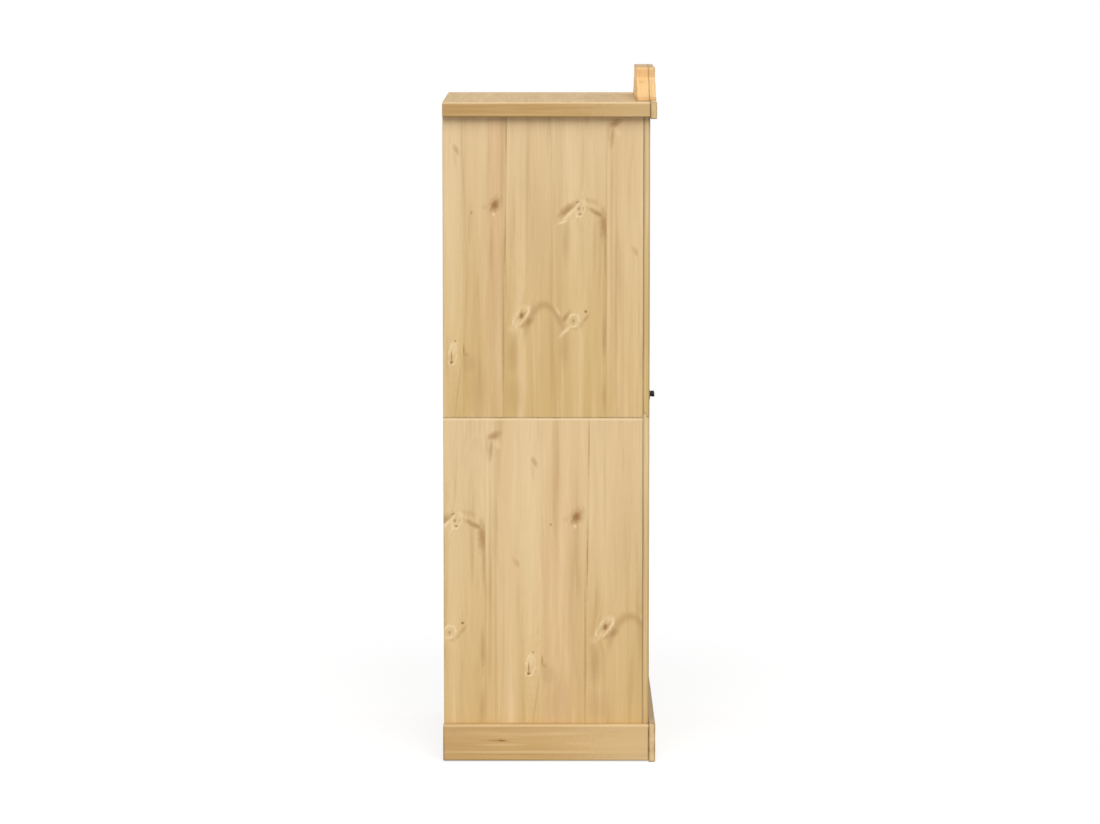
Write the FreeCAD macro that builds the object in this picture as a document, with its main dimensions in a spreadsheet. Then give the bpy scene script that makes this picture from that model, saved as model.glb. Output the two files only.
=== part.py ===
import FreeCAD, Part
import Sketcher
import os
import re

# A tall pine cabinet with two doors, a plinth, a cornice and a crest, in millimetres.
# Z is up, the doors face -Y, X runs along the front, and the floor is at zero height.

DOCUMENT = FreeCAD.newDocument("pine_cabinet")

# Sizes that can each be set by itself.
SIZES = (
    # Carcass
    ("body_width", 600.0),            # across the outer faces of the side panels
    ("side_depth", 488.0),            # side panel, front edge to back edge
    ("board", 16.0),                  # side, top, bottom and shelf boards
    ("seam_height", 852.0),           # floor to the seam between lower and upper panels
    ("top_height", 1621.0),           # floor to the top surface
    ("arris", 1.2),                   # rounding on the edges of the carcass boards
    ("rebate_width", 8.0),            # rebate for the back panels, across the side panel
    ("rebate_depth", 6.0),            # the same rebate, front to back
    ("back_board", 5.0),              # thickness of the back panels
    ("back_play", 0.5),               # back panel to the side of its rebate
    # Face frame
    ("face_board", 16.0),             # stiles, rails and the front boards of cornice and plinth
    ("stile_width", 45.0),
    ("lap_height", 11.0),             # tongue of the lower stile behind the upper one
    ("rail_height", 60.0),
    ("sill_reveal", 20.0),            # bottom rail above the front board of the plinth
    ("sill_step", 4.0),               # bottom rail above the bottom board
    # Cornice, crest and plinth
    ("cornice_out", 18.0),            # side boards of cornice and plinth, thickness
    ("cornice_side_height", 35.0),
    ("cornice_front_height", 41.5),
    ("cornice_lip", 1.5),             # front board above the top surface
    ("cornice_arris", 2.5),
    ("crest_back_board", 31.0),
    ("crest_half_base", 235.0),
    ("crest_lip", 10.0),              # height of the crest's ends
    ("crest_shoulder", 47.0),         # height where the curve meets the raised middle
    ("crest_half_middle", 111.0),
    ("crest_height", 79.0),
    ("crest_corner", 7.0),            # rounding in the outline of the crest
    ("crest_arris", 4.5),             # rounding along the front edge of the crest
    ("plinth_height", 98.0),
    ("plinth_side_height", 90.0),
    ("plinth_side_lift", 3.0),
    ("plinth_arris", 4.0),
    ("side_overrun", 2.0),            # plinth sides beyond the back of the side panels
    # Doors
    ("door_gap", 2.0),                # all round each door
    ("door_board", 18.0),
    ("door_stile", 50.0),
    ("door_top_rail", 60.0),
    ("door_middle_rail", 70.0),
    ("door_bottom_rail", 70.0),
    ("middle_rail_rise", 13.0),       # seam up to the middle of the middle rail
    ("door_arris", 2.0),
    ("tongue", 6.0),                  # thickness of panel tongues and rail tenons
    ("tongue_inset", 6.0),            # door face to the tongue
    ("tongue_play", 0.2),             # each side of a tongue in its groove
    ("groove_depth", 10.0),
    ("groove_play", 0.8),             # tongue's end to the bottom of its groove
    ("field_rise", 4.0),              # raised field in front of the tongue
    ("bevel_width", 26.0),            # sloping edge round the raised field
    ("panel_margin", 3.0),            # flat strip between the frame and the slope
    # Knobs
    ("knob_rise", 25.0),              # seam up to the knobs
    ("knob_reach", 19.0),             # door face to the knob's front
    ("rosette_margin", 2.0),          # door's meeting edge to the rosette
    ("rosette_radius", 16.5),
    ("rosette_rim", 5.0),
    ("rosette_rise", 8.0),
    ("rosette_crown", 14.0),          # radius of the domed part
    ("rosette_land", 7.0),            # radius of the flat that the knob stands on
    ("stem_radius", 3.6),
    ("stem_play", 0.1),
    ("neck_radius", 4.7),
    ("neck_length", 3.2),
    ("head_radius", 5.4),
    ("head_arris", 1.4),
    ("knob_screw_radius", 2.0),
    ("knob_screw_bite", 9.0),         # length of the screw inside the knob
    ("knob_screw_head_radius", 4.0),
    # Hinges
    ("hinge_inset", 95.0),            # door's ends to the nearest ends of the outer hinges
    ("hinge_drop", 47.0),             # seam down to the middle hinge
    ("hinge_height", 50.0),
    ("hinge_set_back", 1.0),          # door face to the pin's centre line
    ("leaf_thickness", 1.0),
    ("leaf_depth", 13.0),
    ("knuckle_radius", 2.25),
    ("knuckle_gap", 0.3),
    ("knuckle_clearance", 0.4),
    ("pin_radius", 1.0),
    ("pin_play", 0.05),
    ("pin_head_radius", 1.8),
    ("pin_head", 1.0),
    ("hinge_screw_radius", 1.2),
    ("hinge_screw_head_radius", 2.6),
    ("hinge_screw_length", 10.0),
    ("hinge_screw_inset", 9.0),       # leaf's ends to its screws
    ("hinge_screw_depth", 8.0),       # pin's centre line to the screws
    ("screw_play", 0.1),
    ("screw_slot", 0.7),
    # Shelves, cleats and catches
    ("shelf_setback", 12.0),          # side panel's front edge to the middle shelf
    ("loose_shelf_setback", 24.0),
    ("loose_shelf_back_gap", 18.0),
    ("loose_shelf_play", 1.0),
    ("lower_shelf_height", 480.0),
    ("upper_shelf_height", 1240.0),
    ("peg_radius", 2.5),
    ("peg_sink", 9.0),
    ("peg_inset", 45.0),              # loose shelf's ends to its pegs
    ("peg_reach", 10.0),
    ("peg_width", 10.0),
    ("peg_thickness", 4.0),
    ("cleat_board", 20.0),
    ("cleat_height", 60.0),
    ("cleat_setback", 50.0),          # side panel's front edge to the cleats
    ("cleat_back_gap", 12.0),
    ("cleat_screw_radius", 2.0),
    ("cleat_screw_head_radius", 4.0),
    ("cleat_screw_length", 30.0),
    ("cleat_screw_inset", 60.0),
    ("bottom_cleat_height", 22.0),
    ("wall_rail_height", 60.0),
    ("wall_hole_radius", 3.0),
    ("wall_hole_spacing", 400.0),
    ("catch_width", 36.0),
    ("catch_depth", 14.0),
    ("catch_drop", 18.0),
    ("catch_rise", 14.0),
    ("catch_gap", 0.3),
    ("catch_arris", 0.8),
    ("strike_thickness", 1.2),
    ("strike_width", 30.0),
    ("strike_height", 12.0),
    ("cut_overrun", 5.0),             # how far a cutting shape runs past the wood
)

# Places and sizes that follow from the ones above.
PLACES = (
    ("half_width", "body_width / 2"),
    ("inner_half", "half_width - board"),
    ("opening_half", "half_width - stile_width"),
    ("back_y", "(side_depth + face_board + knob_reach - side_overrun) / 2"),
    ("rebate_y", "back_y - rebate_depth"),
    ("panel_y", "back_y - side_depth"),
    ("face_y", "panel_y - face_board"),
    ("front_y", "face_y - face_board"),
    ("carcass_top", "top_height - board"),
    ("lap_depth", "face_board / 2"),
    ("trim_half", "half_width + cornice_out"),
    ("sill_height", "plinth_height + sill_reveal"),
    ("floor_board_z", "sill_height - sill_step - board"),
    ("door_width", "opening_half - door_gap * 3 / 2"),
    ("door_x", "door_gap - opening_half"),
    ("door_z", "sill_height + door_gap"),
    ("door_top", "carcass_top - rail_height - door_gap"),
    ("door_height", "door_top - door_z"),
    ("door_back_y", "face_y + door_board"),
    ("axis_x", "door_gap / 2 - opening_half"),
    ("axis_y", "face_y + hinge_set_back"),
    ("hinge_low", "door_z + hinge_inset"),
    ("hinge_middle", "seam_height - hinge_drop - hinge_height"),
    ("hinge_high", "door_top - hinge_inset - hinge_height"),
    ("groove_near", "tongue_inset - tongue_play"),
    ("groove_far", "tongue_inset + tongue + tongue_play"),
    ("tongue_reach", "groove_depth - groove_play"),
    ("panel_span", "door_width - 2 * door_stile"),
    ("middle_rail_z", "seam_height + middle_rail_rise - door_middle_rail / 2"),
    ("lower_panel_z", "door_z + door_bottom_rail"),
    ("upper_panel_z", "middle_rail_z + door_middle_rail"),
    ("catch_x", "-(door_gap + door_stile) / 2"),
    ("knob_x", "-door_gap / 2 - rosette_margin - rosette_radius"),
    ("knob_centre", "seam_height + knob_rise"),
    ("middle_shelf_z", "seam_height + cleat_height / 2"),
    ("back_seam_z", "middle_shelf_z + board / 2"),
    ("shelf_y", "panel_y + loose_shelf_setback"),
    ("loose_shelf_depth", "rebate_y - loose_shelf_back_gap - shelf_y"),
    ("cleat_y", "panel_y + cleat_setback"),
    ("cleat_length", "rebate_y - cleat_back_gap - cleat_y"),
    ("cleat_z", "seam_height - cleat_height / 2"),
    ("wall_rail_y", "rebate_y - board"),
    ("notch_radius", "knuckle_radius + knuckle_clearance"),
    ("notch_end", "pin_head + knuckle_gap"),
)

SIZE_SHEET = DOCUMENT.addObject("Spreadsheet::Sheet", "Sizes")
PLACE_SHEET = DOCUMENT.addObject("Spreadsheet::Sheet", "Places")
PLACE_NAMES = tuple(name for name, rule in PLACES)

# Turns that point a shape's own +Z along a direction of the cabinet.
TURNS = {
    "up": FreeCAD.Rotation(),
    "right": FreeCAD.Rotation(FreeCAD.Vector(0, 1, 0), 90),
    "left": FreeCAD.Rotation(FreeCAD.Vector(0, 1, 0), -90),
    "forward": FreeCAD.Rotation(FreeCAD.Vector(1, 0, 0), 90),
    "backward": FreeCAD.Rotation(FreeCAD.Vector(1, 0, 0), -90),
}

LEAST = 1e-6    # lengths that differ by less are the same
NODES = []      # the objects that are written, one file each
CUTS = []       # each cutting feature with the feature before it


def formula(text):
    """Write each name in the text as a reference to its sheet."""
    def reference(match):
        name = match.group()
        return ("Places." if name in PLACE_NAMES else "Sizes.") + name
    return re.sub(r"[a-z_]+", reference, text)


def value(text):
    """The number that a formula gives now."""
    return float(SIZE_SHEET.evalExpression(formula(text)))


def bind(thing, path, text):
    thing.setExpression(path, formula(text))


def settle(thing, place):
    """Tie the position of a thing to three formulas."""
    for axis, text in zip("xyz", place):
        bind(thing, "Placement.Base." + axis, text)


def fill_sheets():
    for row, (name, number) in enumerate(SIZES, start=1):
        SIZE_SHEET.set(f"A{row}", name)
        SIZE_SHEET.set(f"B{row}", str(number))
        SIZE_SHEET.setAlias(f"B{row}", name)
    DOCUMENT.recompute()
    for row, (name, rule) in enumerate(PLACES, start=1):
        PLACE_SHEET.set(f"A{row}", name)
        PLACE_SHEET.setAlias(f"B{row}", name)
        PLACE_SHEET.set(f"B{row}", "=" + formula(rule))
    DOCUMENT.recompute()


# Ways to make a piece

def node(thing, label):
    """Name a thing as one of the pieces that are written."""
    thing.Label = label
    NODES.append(thing)
    return thing


def body(label, place, listed=True):
    piece = DOCUMENT.addObject("PartDesign::Body", label)
    settle(piece, place)
    if listed:
        node(piece, label)
    return piece


def plane_of(piece, role):
    return next(feature for feature in piece.Origin.OriginFeatures if feature.Role == role)


def place_edge(sketch, start, end, arc):
    """Draw one edge; give the numbers of its vertices at the start and at the end."""
    if not arc:
        return sketch.addGeometry(Part.LineSegment(start, end)), 1, 2
    radius = value(arc[0])
    chord = end - start
    across = FreeCAD.Vector(-chord.y, chord.x, 0) / chord.Length
    reach = max(radius ** 2 - chord.Length ** 2 / 4, 0) ** 0.5
    centre = (start + end) / 2 + across * (reach * arc[1])
    first, last = (start, end) if arc[1] > 0 else (end, start)
    east = FreeCAD.Vector(1, 0, 0)
    angles = []
    for point in (first, last):
        spoke = point - centre
        angle = east.getAngle(spoke)
        angles.append(angle if spoke.y >= 0 else -angle)
    circle = Part.Circle(centre, FreeCAD.Vector(0, 0, 1), radius)
    number = sketch.addGeometry(Part.ArcOfCircle(circle, angles[0], angles[1]))
    return (number, 1, 2) if arc[1] > 0 else (number, 2, 1)


def outline(piece, role, points):
    """A closed sketch on one of the piece's own planes, with every corner tied to formulas.

    A point is (x, y) at the end of a straight edge, or (x, y, radius, side) at the end of an arc
    whose centre lies to the left (1) or to the right (-1) of the way along it.
    """
    sketch = piece.newObject("Sketcher::SketchObject", piece.Name + "_outline")
    sketch.AttachmentSupport = [(plane_of(piece, role), "")]
    sketch.MapMode = "FlatFace"
    corners = [FreeCAD.Vector(value(point[0]), value(point[1]), 0) for point in points]
    edges = []
    for index, point in enumerate(points):
        edges.append(place_edge(sketch, corners[index - 1], corners[index], point[2:]))
    for index, point in enumerate(points):
        edge, start, end = edges[index]
        following, its_start, its_end = edges[(index + 1) % len(edges)]
        sketch.addConstraint(Sketcher.Constraint("Coincident", edge, end, following, its_start))
        for kind, text, axis in (("DistanceX", point[0], -2), ("DistanceY", point[1], -1)):
            if text == "0":
                sketch.addConstraint(Sketcher.Constraint("PointOnObject", edge, end, axis))
                continue
            number = sketch.addConstraint(Sketcher.Constraint(kind, -1, 1, edge, end, value(text)))
            bind(sketch, f"Constraints[{number}]", text)
        if point[2:]:
            number = sketch.addConstraint(Sketcher.Constraint("Radius", edge, value(point[2])))
            bind(sketch, f"Constraints[{number}]", point[2])
    return sketch


def rectangle(width, height):
    return (("0", "0"), (width, "0"), (width, height), ("0", height))


def pad(piece, sketch, length):
    """Raise a sketch along +X, +Y or +Z."""
    feature = piece.newObject("PartDesign::Pad", piece.Name + "_pad")
    feature.Profile = sketch
    feature.Reversed = sketch.AttachmentSupport[0][0].Role == "XZ_Plane"
    bind(feature, "Length", length)
    sketch.Visibility = False
    return feature


def ease(piece, radius, choose=lambda edge: True):
    """Round the chosen edges of what the piece is so far."""
    DOCUMENT.recompute()
    base = piece.Tip
    names = [f"Edge{number}" for number, edge in enumerate(base.Shape.Edges, start=1) if choose(edge)]
    feature = piece.newObject("PartDesign::Fillet", piece.Name + "_ease")
    feature.Base = (base, names)
    bind(feature, "Radius", radius)
    return feature


def edges_at(axis, *texts):
    """A choice of the edges that lie wholly at one of some places along an axis."""
    def choose(edge):
        spots = [getattr(vertex.Point, axis) for vertex in edge.Vertexes]
        return any(all(abs(spot - value(text)) < LEAST for spot in spots) for text in texts)
    return choose


def both(first, second):
    return lambda edge: first(edge) and second(edge)


def cut_box(piece, corner, size):
    before = piece.Tip
    feature = piece.newObject("PartDesign::SubtractiveBox", piece.Name + "_recess")
    settle(feature, corner)
    for name, text in zip(("Length", "Width", "Height"), size):
        bind(feature, name, text)
    CUTS.append((feature, before))


def add_box(piece, corner, size):
    feature = piece.newObject("PartDesign::AdditiveBox", piece.Name + "_tenon")
    settle(feature, corner)
    for name, text in zip(("Length", "Width", "Height"), size):
        bind(feature, name, text)


def drill(piece, mouth, way, radius, depth):
    """A round hole from its mouth along one of the TURNS."""
    before = piece.Tip
    feature = piece.newObject("PartDesign::SubtractiveCylinder", piece.Name + "_hole")
    feature.Placement = FreeCAD.Placement(FreeCAD.Vector(), TURNS[way])
    settle(feature, mouth)
    bind(feature, "Radius", radius)
    bind(feature, "Height", depth)
    CUTS.append((feature, before))


def plank(label, place, size, radius="arris", listed=True):
    """A straight board with all its edges rounded."""
    piece = body(label, place, listed)
    pad(piece, outline(piece, "XY_Plane", rectangle(size[0], size[1])), size[2])
    ease(piece, radius)
    return piece


def profiled(label, place, role, points, length, listed=True):
    """A board of one section all along."""
    piece = body(label, place, listed)
    pad(piece, outline(piece, role, points), length)
    return piece


def mirrored(piece, label, listed=True):
    """The same piece on the right-hand side."""
    twin = DOCUMENT.addObject("Part::Mirroring", label)
    twin.Source = piece
    twin.Normal = FreeCAD.Vector(1, 0, 0)
    if listed:
        node(twin, label)
    return twin


def pair(label, piece):
    """A left piece and its mirror image as two solids of one node."""
    couple = DOCUMENT.addObject("Part::Compound", label)
    couple.Links = [piece, mirrored(piece, label + "_right_one", listed=False)]
    return node(couple, label)


def group(label, shapes):
    """Separate small solids that share a node."""
    feature = DOCUMENT.addObject("Part::Feature", label)
    feature.Shape = Part.makeCompound(shapes)
    return node(feature, label)


def turned(shape, way, place):
    """A shape made along +Z, pointed along one of the TURNS and moved to its place."""
    copy = shape.copy()
    copy.Placement = FreeCAD.Placement(FreeCAD.Vector(*(value(text) for text in place)), TURNS[way])
    return copy


def reflected(shape):
    return shape.mirror(FreeCAD.Vector(), FreeCAD.Vector(1, 0, 0))


# Carcass

def side_panel(name, foot, height, peg_height):
    """A side board with its rebate for the back and two holes for shelf pegs."""
    piece = profiled(name + "_left", ("-half_width", "panel_y", foot), "XY_Plane", (
        ("0", "0"),
        ("board", "0"),
        ("board", "side_depth - rebate_depth"),
        ("board - rebate_width", "side_depth - rebate_depth"),
        ("board - rebate_width", "side_depth"),
        ("0", "side_depth"),
    ), height)
    ease(piece, "arris", edges_at("x", "0"))
    for spot in ("peg_inset", "loose_shelf_depth - peg_inset"):
        mouth = ("board", f"loose_shelf_setback + {spot}", f"{peg_height} - peg_thickness / 2 - {foot}")
        drill(piece, mouth, "left", "peg_radius + screw_play", "peg_sink + screw_play")
    return piece


def cleat_holes(piece, foot, heights, mouth_x):
    """Blind holes in a side panel for the screws of a cleat."""
    for height in heights:
        for spot in ("cleat_screw_inset", "cleat_length - cleat_screw_inset"):
            mouth = (mouth_x, f"cleat_y - panel_y + {spot}", f"{height} - {foot}")
            drill(piece, mouth, "left", "cleat_screw_radius + screw_play",
                  "cleat_screw_length - cleat_board + screw_play")


def side_panels():
    lower = side_panel("side_panel_lower", "0", "seam_height", "lower_shelf_height")
    levels = ("seam_height - cleat_height / 4", "floor_board_z - bottom_cleat_height / 2")
    cleat_holes(lower, "0", levels, "board")
    upper = side_panel("side_panel_upper", "seam_height", "carcass_top - seam_height", "upper_shelf_height")
    cleat_holes(upper, "seam_height", ("seam_height + cleat_height / 4",), "board")
    mirrored(lower, "side_panel_lower_right")
    mirrored(upper, "side_panel_upper_right")


def hinge_recesses(piece, edge_x, way, axis_x, axis_y, heights):
    """Shallow seats for hinge leaves, with a notch for the knuckles and holes for the screws.

    edge_x is the wood's edge, axis_x and axis_y are the pin, all in the piece's own frame.
    """
    towards = "-" if way == "left" else "+"
    low_x = f"{edge_x} - leaf_thickness" if way == "left" else f"{edge_x} - cut_overrun"
    seat = ("leaf_thickness + cut_overrun", "leaf_depth", "hinge_height")
    screw_x = f"{edge_x} {towards} leaf_thickness"
    screw_y = f"{axis_y} + hinge_screw_depth"
    for height in heights:
        cut_box(piece, (low_x, axis_y, height), seat)
        drill(piece, (axis_x, axis_y, f"{height} - notch_end"), "up",
              "notch_radius", "hinge_height + 2 * notch_end")
        for spot in ("hinge_screw_inset", "hinge_height - hinge_screw_inset"):
            drill(piece, (screw_x, screw_y, f"{height} + {spot}"), way, "hinge_screw_radius + screw_play",
                  "hinge_screw_length - leaf_thickness + screw_play")


def stiles():
    """Each side's front stile is in two lengths that meet in a half lap."""
    lower = profiled("stile_lower_left", ("-half_width", "face_y", "0"), "YZ_Plane", (
        ("0", "0"),
        ("face_board", "0"),
        ("face_board", "seam_height + lap_height"),
        ("lap_depth", "seam_height + lap_height"),
        ("lap_depth", "seam_height"),
        ("0", "seam_height"),
    ), "stile_width")
    ease(lower, "arris", lambda edge: edges_at("x", "0")(edge) or edges_at("y", "0")(edge))
    hinge_recesses(lower, "stile_width", "left", "stile_width + door_gap / 2", "hinge_set_back",
                   ("hinge_low", "hinge_middle"))
    upper = profiled("stile_upper_left", ("-half_width", "face_y", "seam_height"), "YZ_Plane", (
        ("0", "0"),
        ("lap_depth", "0"),
        ("lap_depth", "lap_height"),
        ("face_board", "lap_height"),
        ("face_board", "carcass_top - seam_height"),
        ("0", "carcass_top - seam_height"),
    ), "stile_width")
    ease(upper, "arris", lambda edge: edges_at("x", "0")(edge) or edges_at("y", "0")(edge))
    hinge_recesses(upper, "stile_width", "left", "stile_width + door_gap / 2", "hinge_set_back",
                   ("hinge_high - seam_height",))
    mirrored(lower, "stile_lower_right")
    mirrored(upper, "stile_upper_right")


def face_rails():
    size = ("2 * opening_half", "face_board", "rail_height")
    plank("top_rail", ("-opening_half", "face_y", "carcass_top - rail_height"), size)
    plank("bottom_rail", ("-opening_half", "face_y", "sill_height - rail_height"), size)


def level_boards():
    """The top, the bottom and the shelves."""
    plank("top_board", ("-half_width", "face_y", "carcass_top"), ("body_width", "back_y - face_y", "board"))
    plank("bottom_board", ("-inner_half", "panel_y", "floor_board_z"),
          ("2 * inner_half", "rebate_y - panel_y", "board"))
    plank("middle_shelf", ("-inner_half", "panel_y + shelf_setback", "middle_shelf_z"),
          ("2 * inner_half", "rebate_y - panel_y - shelf_setback", "board"))
    for label in ("lower_shelf", "upper_shelf"):
        plank(label, ("loose_shelf_play - inner_half", "shelf_y", label + "_height"),
              ("2 * (inner_half - loose_shelf_play)", "loose_shelf_depth", "board"))


def back_panels():
    """Two thin boards in the rebates, which meet on the back edge of the middle shelf."""
    left = "back_play - rebate_width - inner_half"
    width = "2 * (inner_half + rebate_width - back_play)"
    plank("back_panel_lower", (left, "rebate_y", "floor_board_z"),
          (width, "back_board", "back_seam_z - floor_board_z"), "arris / 2")
    upper = plank("back_panel_upper", (left, "rebate_y", "back_seam_z"),
                  (width, "back_board", "carcass_top - back_seam_z"), "arris / 2")
    rail = plank("wall_rail", ("-inner_half", "wall_rail_y", "carcass_top - wall_rail_height"),
                 ("2 * inner_half", "board", "wall_rail_height"))
    for side in ("-", "+"):
        middle = f"(inner_half {side} wall_hole_spacing / 2)"
        drill(rail, (middle, "-cut_overrun", "wall_rail_height / 2"), "backward",
              "wall_hole_radius", "board + 2 * cut_overrun")
        drill(upper, (f"{middle} + rebate_width - back_play", "-cut_overrun",
                      "carcass_top - back_seam_z - wall_rail_height / 2"), "backward",
              "wall_hole_radius", "back_board + 2 * cut_overrun")


# Cornice, crest and plinth

def cornice():
    side = plank("cornice_side_left", ("-trim_half", "face_y", "top_height - cornice_side_height"),
                 ("cornice_out", "back_y - face_y", "cornice_side_height"), "cornice_arris")
    mirrored(side, "cornice_side_right")
    plank("cornice_front", ("-trim_half", "front_y", "top_height + cornice_lip - cornice_front_height"),
          ("2 * trim_half", "face_board", "cornice_front_height"), "cornice_arris")


def crest_outline(lift):
    """The crest above a level: on each side two opposed arcs that sweep up to a raised middle."""
    lip = f"crest_lip - {lift}"
    turn_x = "(crest_half_base + crest_half_middle + crest_corner) / 2"
    turn_z = f"(crest_lip + crest_shoulder) / 2 - {lift}"
    shoulder = f"crest_shoulder - {lift}"
    top = f"crest_height - {lift}"
    run = "((crest_half_base - crest_half_middle - crest_corner) / 2)"
    rise = "((crest_shoulder - crest_lip) / 2)"
    sweep = f"({run} * {run} + {rise} * {rise}) / (2 * {rise})"
    right = (
        ("crest_half_base", "0"),
        ("crest_half_base", lip),
        (turn_x, turn_z, sweep, -1),
        ("crest_half_middle + crest_corner", shoulder, sweep, 1),
        ("crest_half_middle", f"{shoulder} + crest_corner", "crest_corner", -1),
        ("crest_half_middle", f"{top} - crest_corner"),
        ("crest_half_middle - crest_corner", top, "crest_corner", 1),
    )
    left = (
        ("crest_corner - crest_half_middle", top),
        ("-crest_half_middle", f"{top} - crest_corner", "crest_corner", 1),
        ("-crest_half_middle", f"{shoulder} + crest_corner"),
        ("-crest_half_middle - crest_corner", shoulder, "crest_corner", -1),
        (f"-({turn_x})", turn_z, sweep, 1),
        ("-crest_half_base", lip, sweep, -1),
        ("-crest_half_base", "0"),
    )
    return right + left


def crest():
    """Two boards, one behind the other, with the same outline."""
    def above_the_ends(edge):
        return edge.BoundBox.ZMax > value("crest_lip") + LEAST
    back = profiled("crest_back", ("0", "face_y", "top_height"), "XZ_Plane",
                    crest_outline("0"), "crest_back_board")
    ease(back, "arris", both(edges_at("y", "0", "crest_back_board"), above_the_ends))
    front = profiled("crest_front", ("0", "front_y", "top_height + cornice_lip"), "XZ_Plane",
                     crest_outline("cornice_lip"), "face_board")
    ease(front, "crest_arris", both(edges_at("y", "0"), above_the_ends))
    ease(front, "arris", both(edges_at("y", "face_board"), above_the_ends))


def plinth():
    side = plank("plinth_side_left", ("-trim_half", "face_y", "plinth_side_lift"),
                 ("cornice_out", "back_y + side_overrun - face_y", "plinth_side_height"), "plinth_arris / 2")
    mirrored(side, "plinth_side_right")
    front = profiled("plinth_front", ("-trim_half", "front_y", "0"), "YZ_Plane",
                     rectangle("face_board", "plinth_height"), "2 * trim_half")
    ease(front, "plinth_arris", both(edges_at("y", "0"), edges_at("z", "0", "plinth_height")))


# Fixings inside the carcass

def cleats():
    """Battens that join the side panels at the seam and carry the middle shelf and the bottom."""
    screws = (
        ("seam_cleats", "cleat_z", "cleat_height", ("cleat_height / 4", "cleat_height * 3 / 4")),
        ("bottom_cleats", "floor_board_z - bottom_cleat_height", "bottom_cleat_height",
         ("bottom_cleat_height / 2",)),
    )
    for label, foot, height, levels in screws:
        piece = plank(label + "_left_one", ("-inner_half", "cleat_y", foot),
                      ("cleat_board", "cleat_length", height), listed=False)
        for level in levels:
            for spot in ("cleat_screw_inset", "cleat_length - cleat_screw_inset"):
                drill(piece, ("cleat_board + cut_overrun", spot, level), "left",
                      "cleat_screw_radius + screw_play", "cleat_board + 2 * cut_overrun")
        pair(label, piece)


def countersunk_screw(radius, head_radius, slope_height, length):
    """A screw along +Z whose flat head, with a cross recess, starts at the origin."""
    slope = value(slope_height)
    head = Part.makeCone(value(head_radius), value(radius), slope)
    shank = Part.makeCylinder(value(radius), value(length))
    slot = value("screw_slot")
    reach = value(head_radius)
    blade = Part.makeBox(reach, slot, slope / 2, FreeCAD.Vector(-reach / 2, -slot / 2, 0))
    crossed = Part.makeBox(slot, reach, slope / 2, FreeCAD.Vector(-slot / 2, -reach / 2, 0))
    return head.fuse(shank).cut(blade).cut(crossed).removeSplitter()


def cleat_screws():
    screw = round_head_screw("cleat_screw_radius", "cleat_screw_head_radius", "cleat_screw_length")
    levels = ("cleat_z + cleat_height / 4", "cleat_z + cleat_height * 3 / 4",
              "floor_board_z - bottom_cleat_height / 2")
    shapes = []
    for level in levels:
        for spot in ("cleat_screw_inset", "cleat_length - cleat_screw_inset"):
            one = turned(screw, "left", ("cleat_board - inner_half", f"cleat_y + {spot}", level))
            shapes += [one, reflected(one)]
    group("cleat_screws", shapes)


def round_head_screw(radius, head_radius, length):
    """A screw along +Z whose domed head stands on the surface at the origin."""
    rise = value(radius)
    head = Part.makeCone(value(head_radius) / 2, value(head_radius), rise, FreeCAD.Vector(0, 0, -rise))
    shank = Part.makeCylinder(value(radius), value(length))
    slot = value("screw_slot")
    reach = value(head_radius) / 2
    low = FreeCAD.Vector(-reach, -slot / 2, -rise)
    blade = Part.makeBox(2 * reach, slot, rise / 2, low)
    crossed = Part.makeBox(slot, 2 * reach, rise / 2, FreeCAD.Vector(-slot / 2, -reach, -rise))
    return head.fuse(shank).cut(blade).cut(crossed).removeSplitter()


def shelf_pegs():
    """Four pegs for each loose shelf: a round shank in the side panel and a flat tongue."""
    shapes = []
    for shelf in ("lower_shelf_height", "upper_shelf_height"):
        for spot in ("peg_inset", "loose_shelf_depth - peg_inset"):
            place = ("-inner_half", f"shelf_y + {spot}", f"{shelf} - peg_thickness / 2")
            shank = turned(Part.makeCylinder(value("peg_radius"), value("peg_sink")), "left", place)
            corner = FreeCAD.Vector(value("-inner_half"), value(f"shelf_y + {spot} - peg_width / 2"),
                                    value(f"{shelf} - peg_thickness"))
            tongue = Part.makeBox(value("peg_reach"), value("peg_width"), value("peg_thickness"), corner)
            one = shank.fuse(tongue)
            shapes += [one, reflected(one)]
    group("shelf_pegs", shapes)


def catches():
    """A magnetic catch behind the top rail for each door."""
    seat = "door_board - face_board + strike_thickness + catch_gap"
    left = "catch_x - catch_width / 2"
    piece = profiled("door_catches_left_one", (left, "panel_y", "carcass_top - rail_height - catch_drop"),
                     "YZ_Plane", (
                         (seat, "0"),
                         ("catch_depth", "0"),
                         ("catch_depth", "catch_drop + catch_rise"),
                         ("0", "catch_drop + catch_rise"),
                         ("0", "catch_drop"),
                         (seat, "catch_drop"),
                     ), "catch_width", listed=False)
    ease(piece, "catch_arris", edges_at("y", "catch_depth"))
    pair("door_catches", piece)


# Hinges, built about the pin: the frame's leaf lies towards -X and the door's towards +X

def hinge_spans():
    """The heights of the three knuckles, from the bottom."""
    share = value("(hinge_height - 2 * knuckle_gap) / 3")
    step = share + value("knuckle_gap")
    return [(index * step, index * step + share) for index in range(3)]


def tube_at(span, radius, spare=0):
    low, high = span
    return Part.makeCylinder(radius, high - low + 2 * spare, FreeCAD.Vector(0, 0, low - spare))


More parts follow.
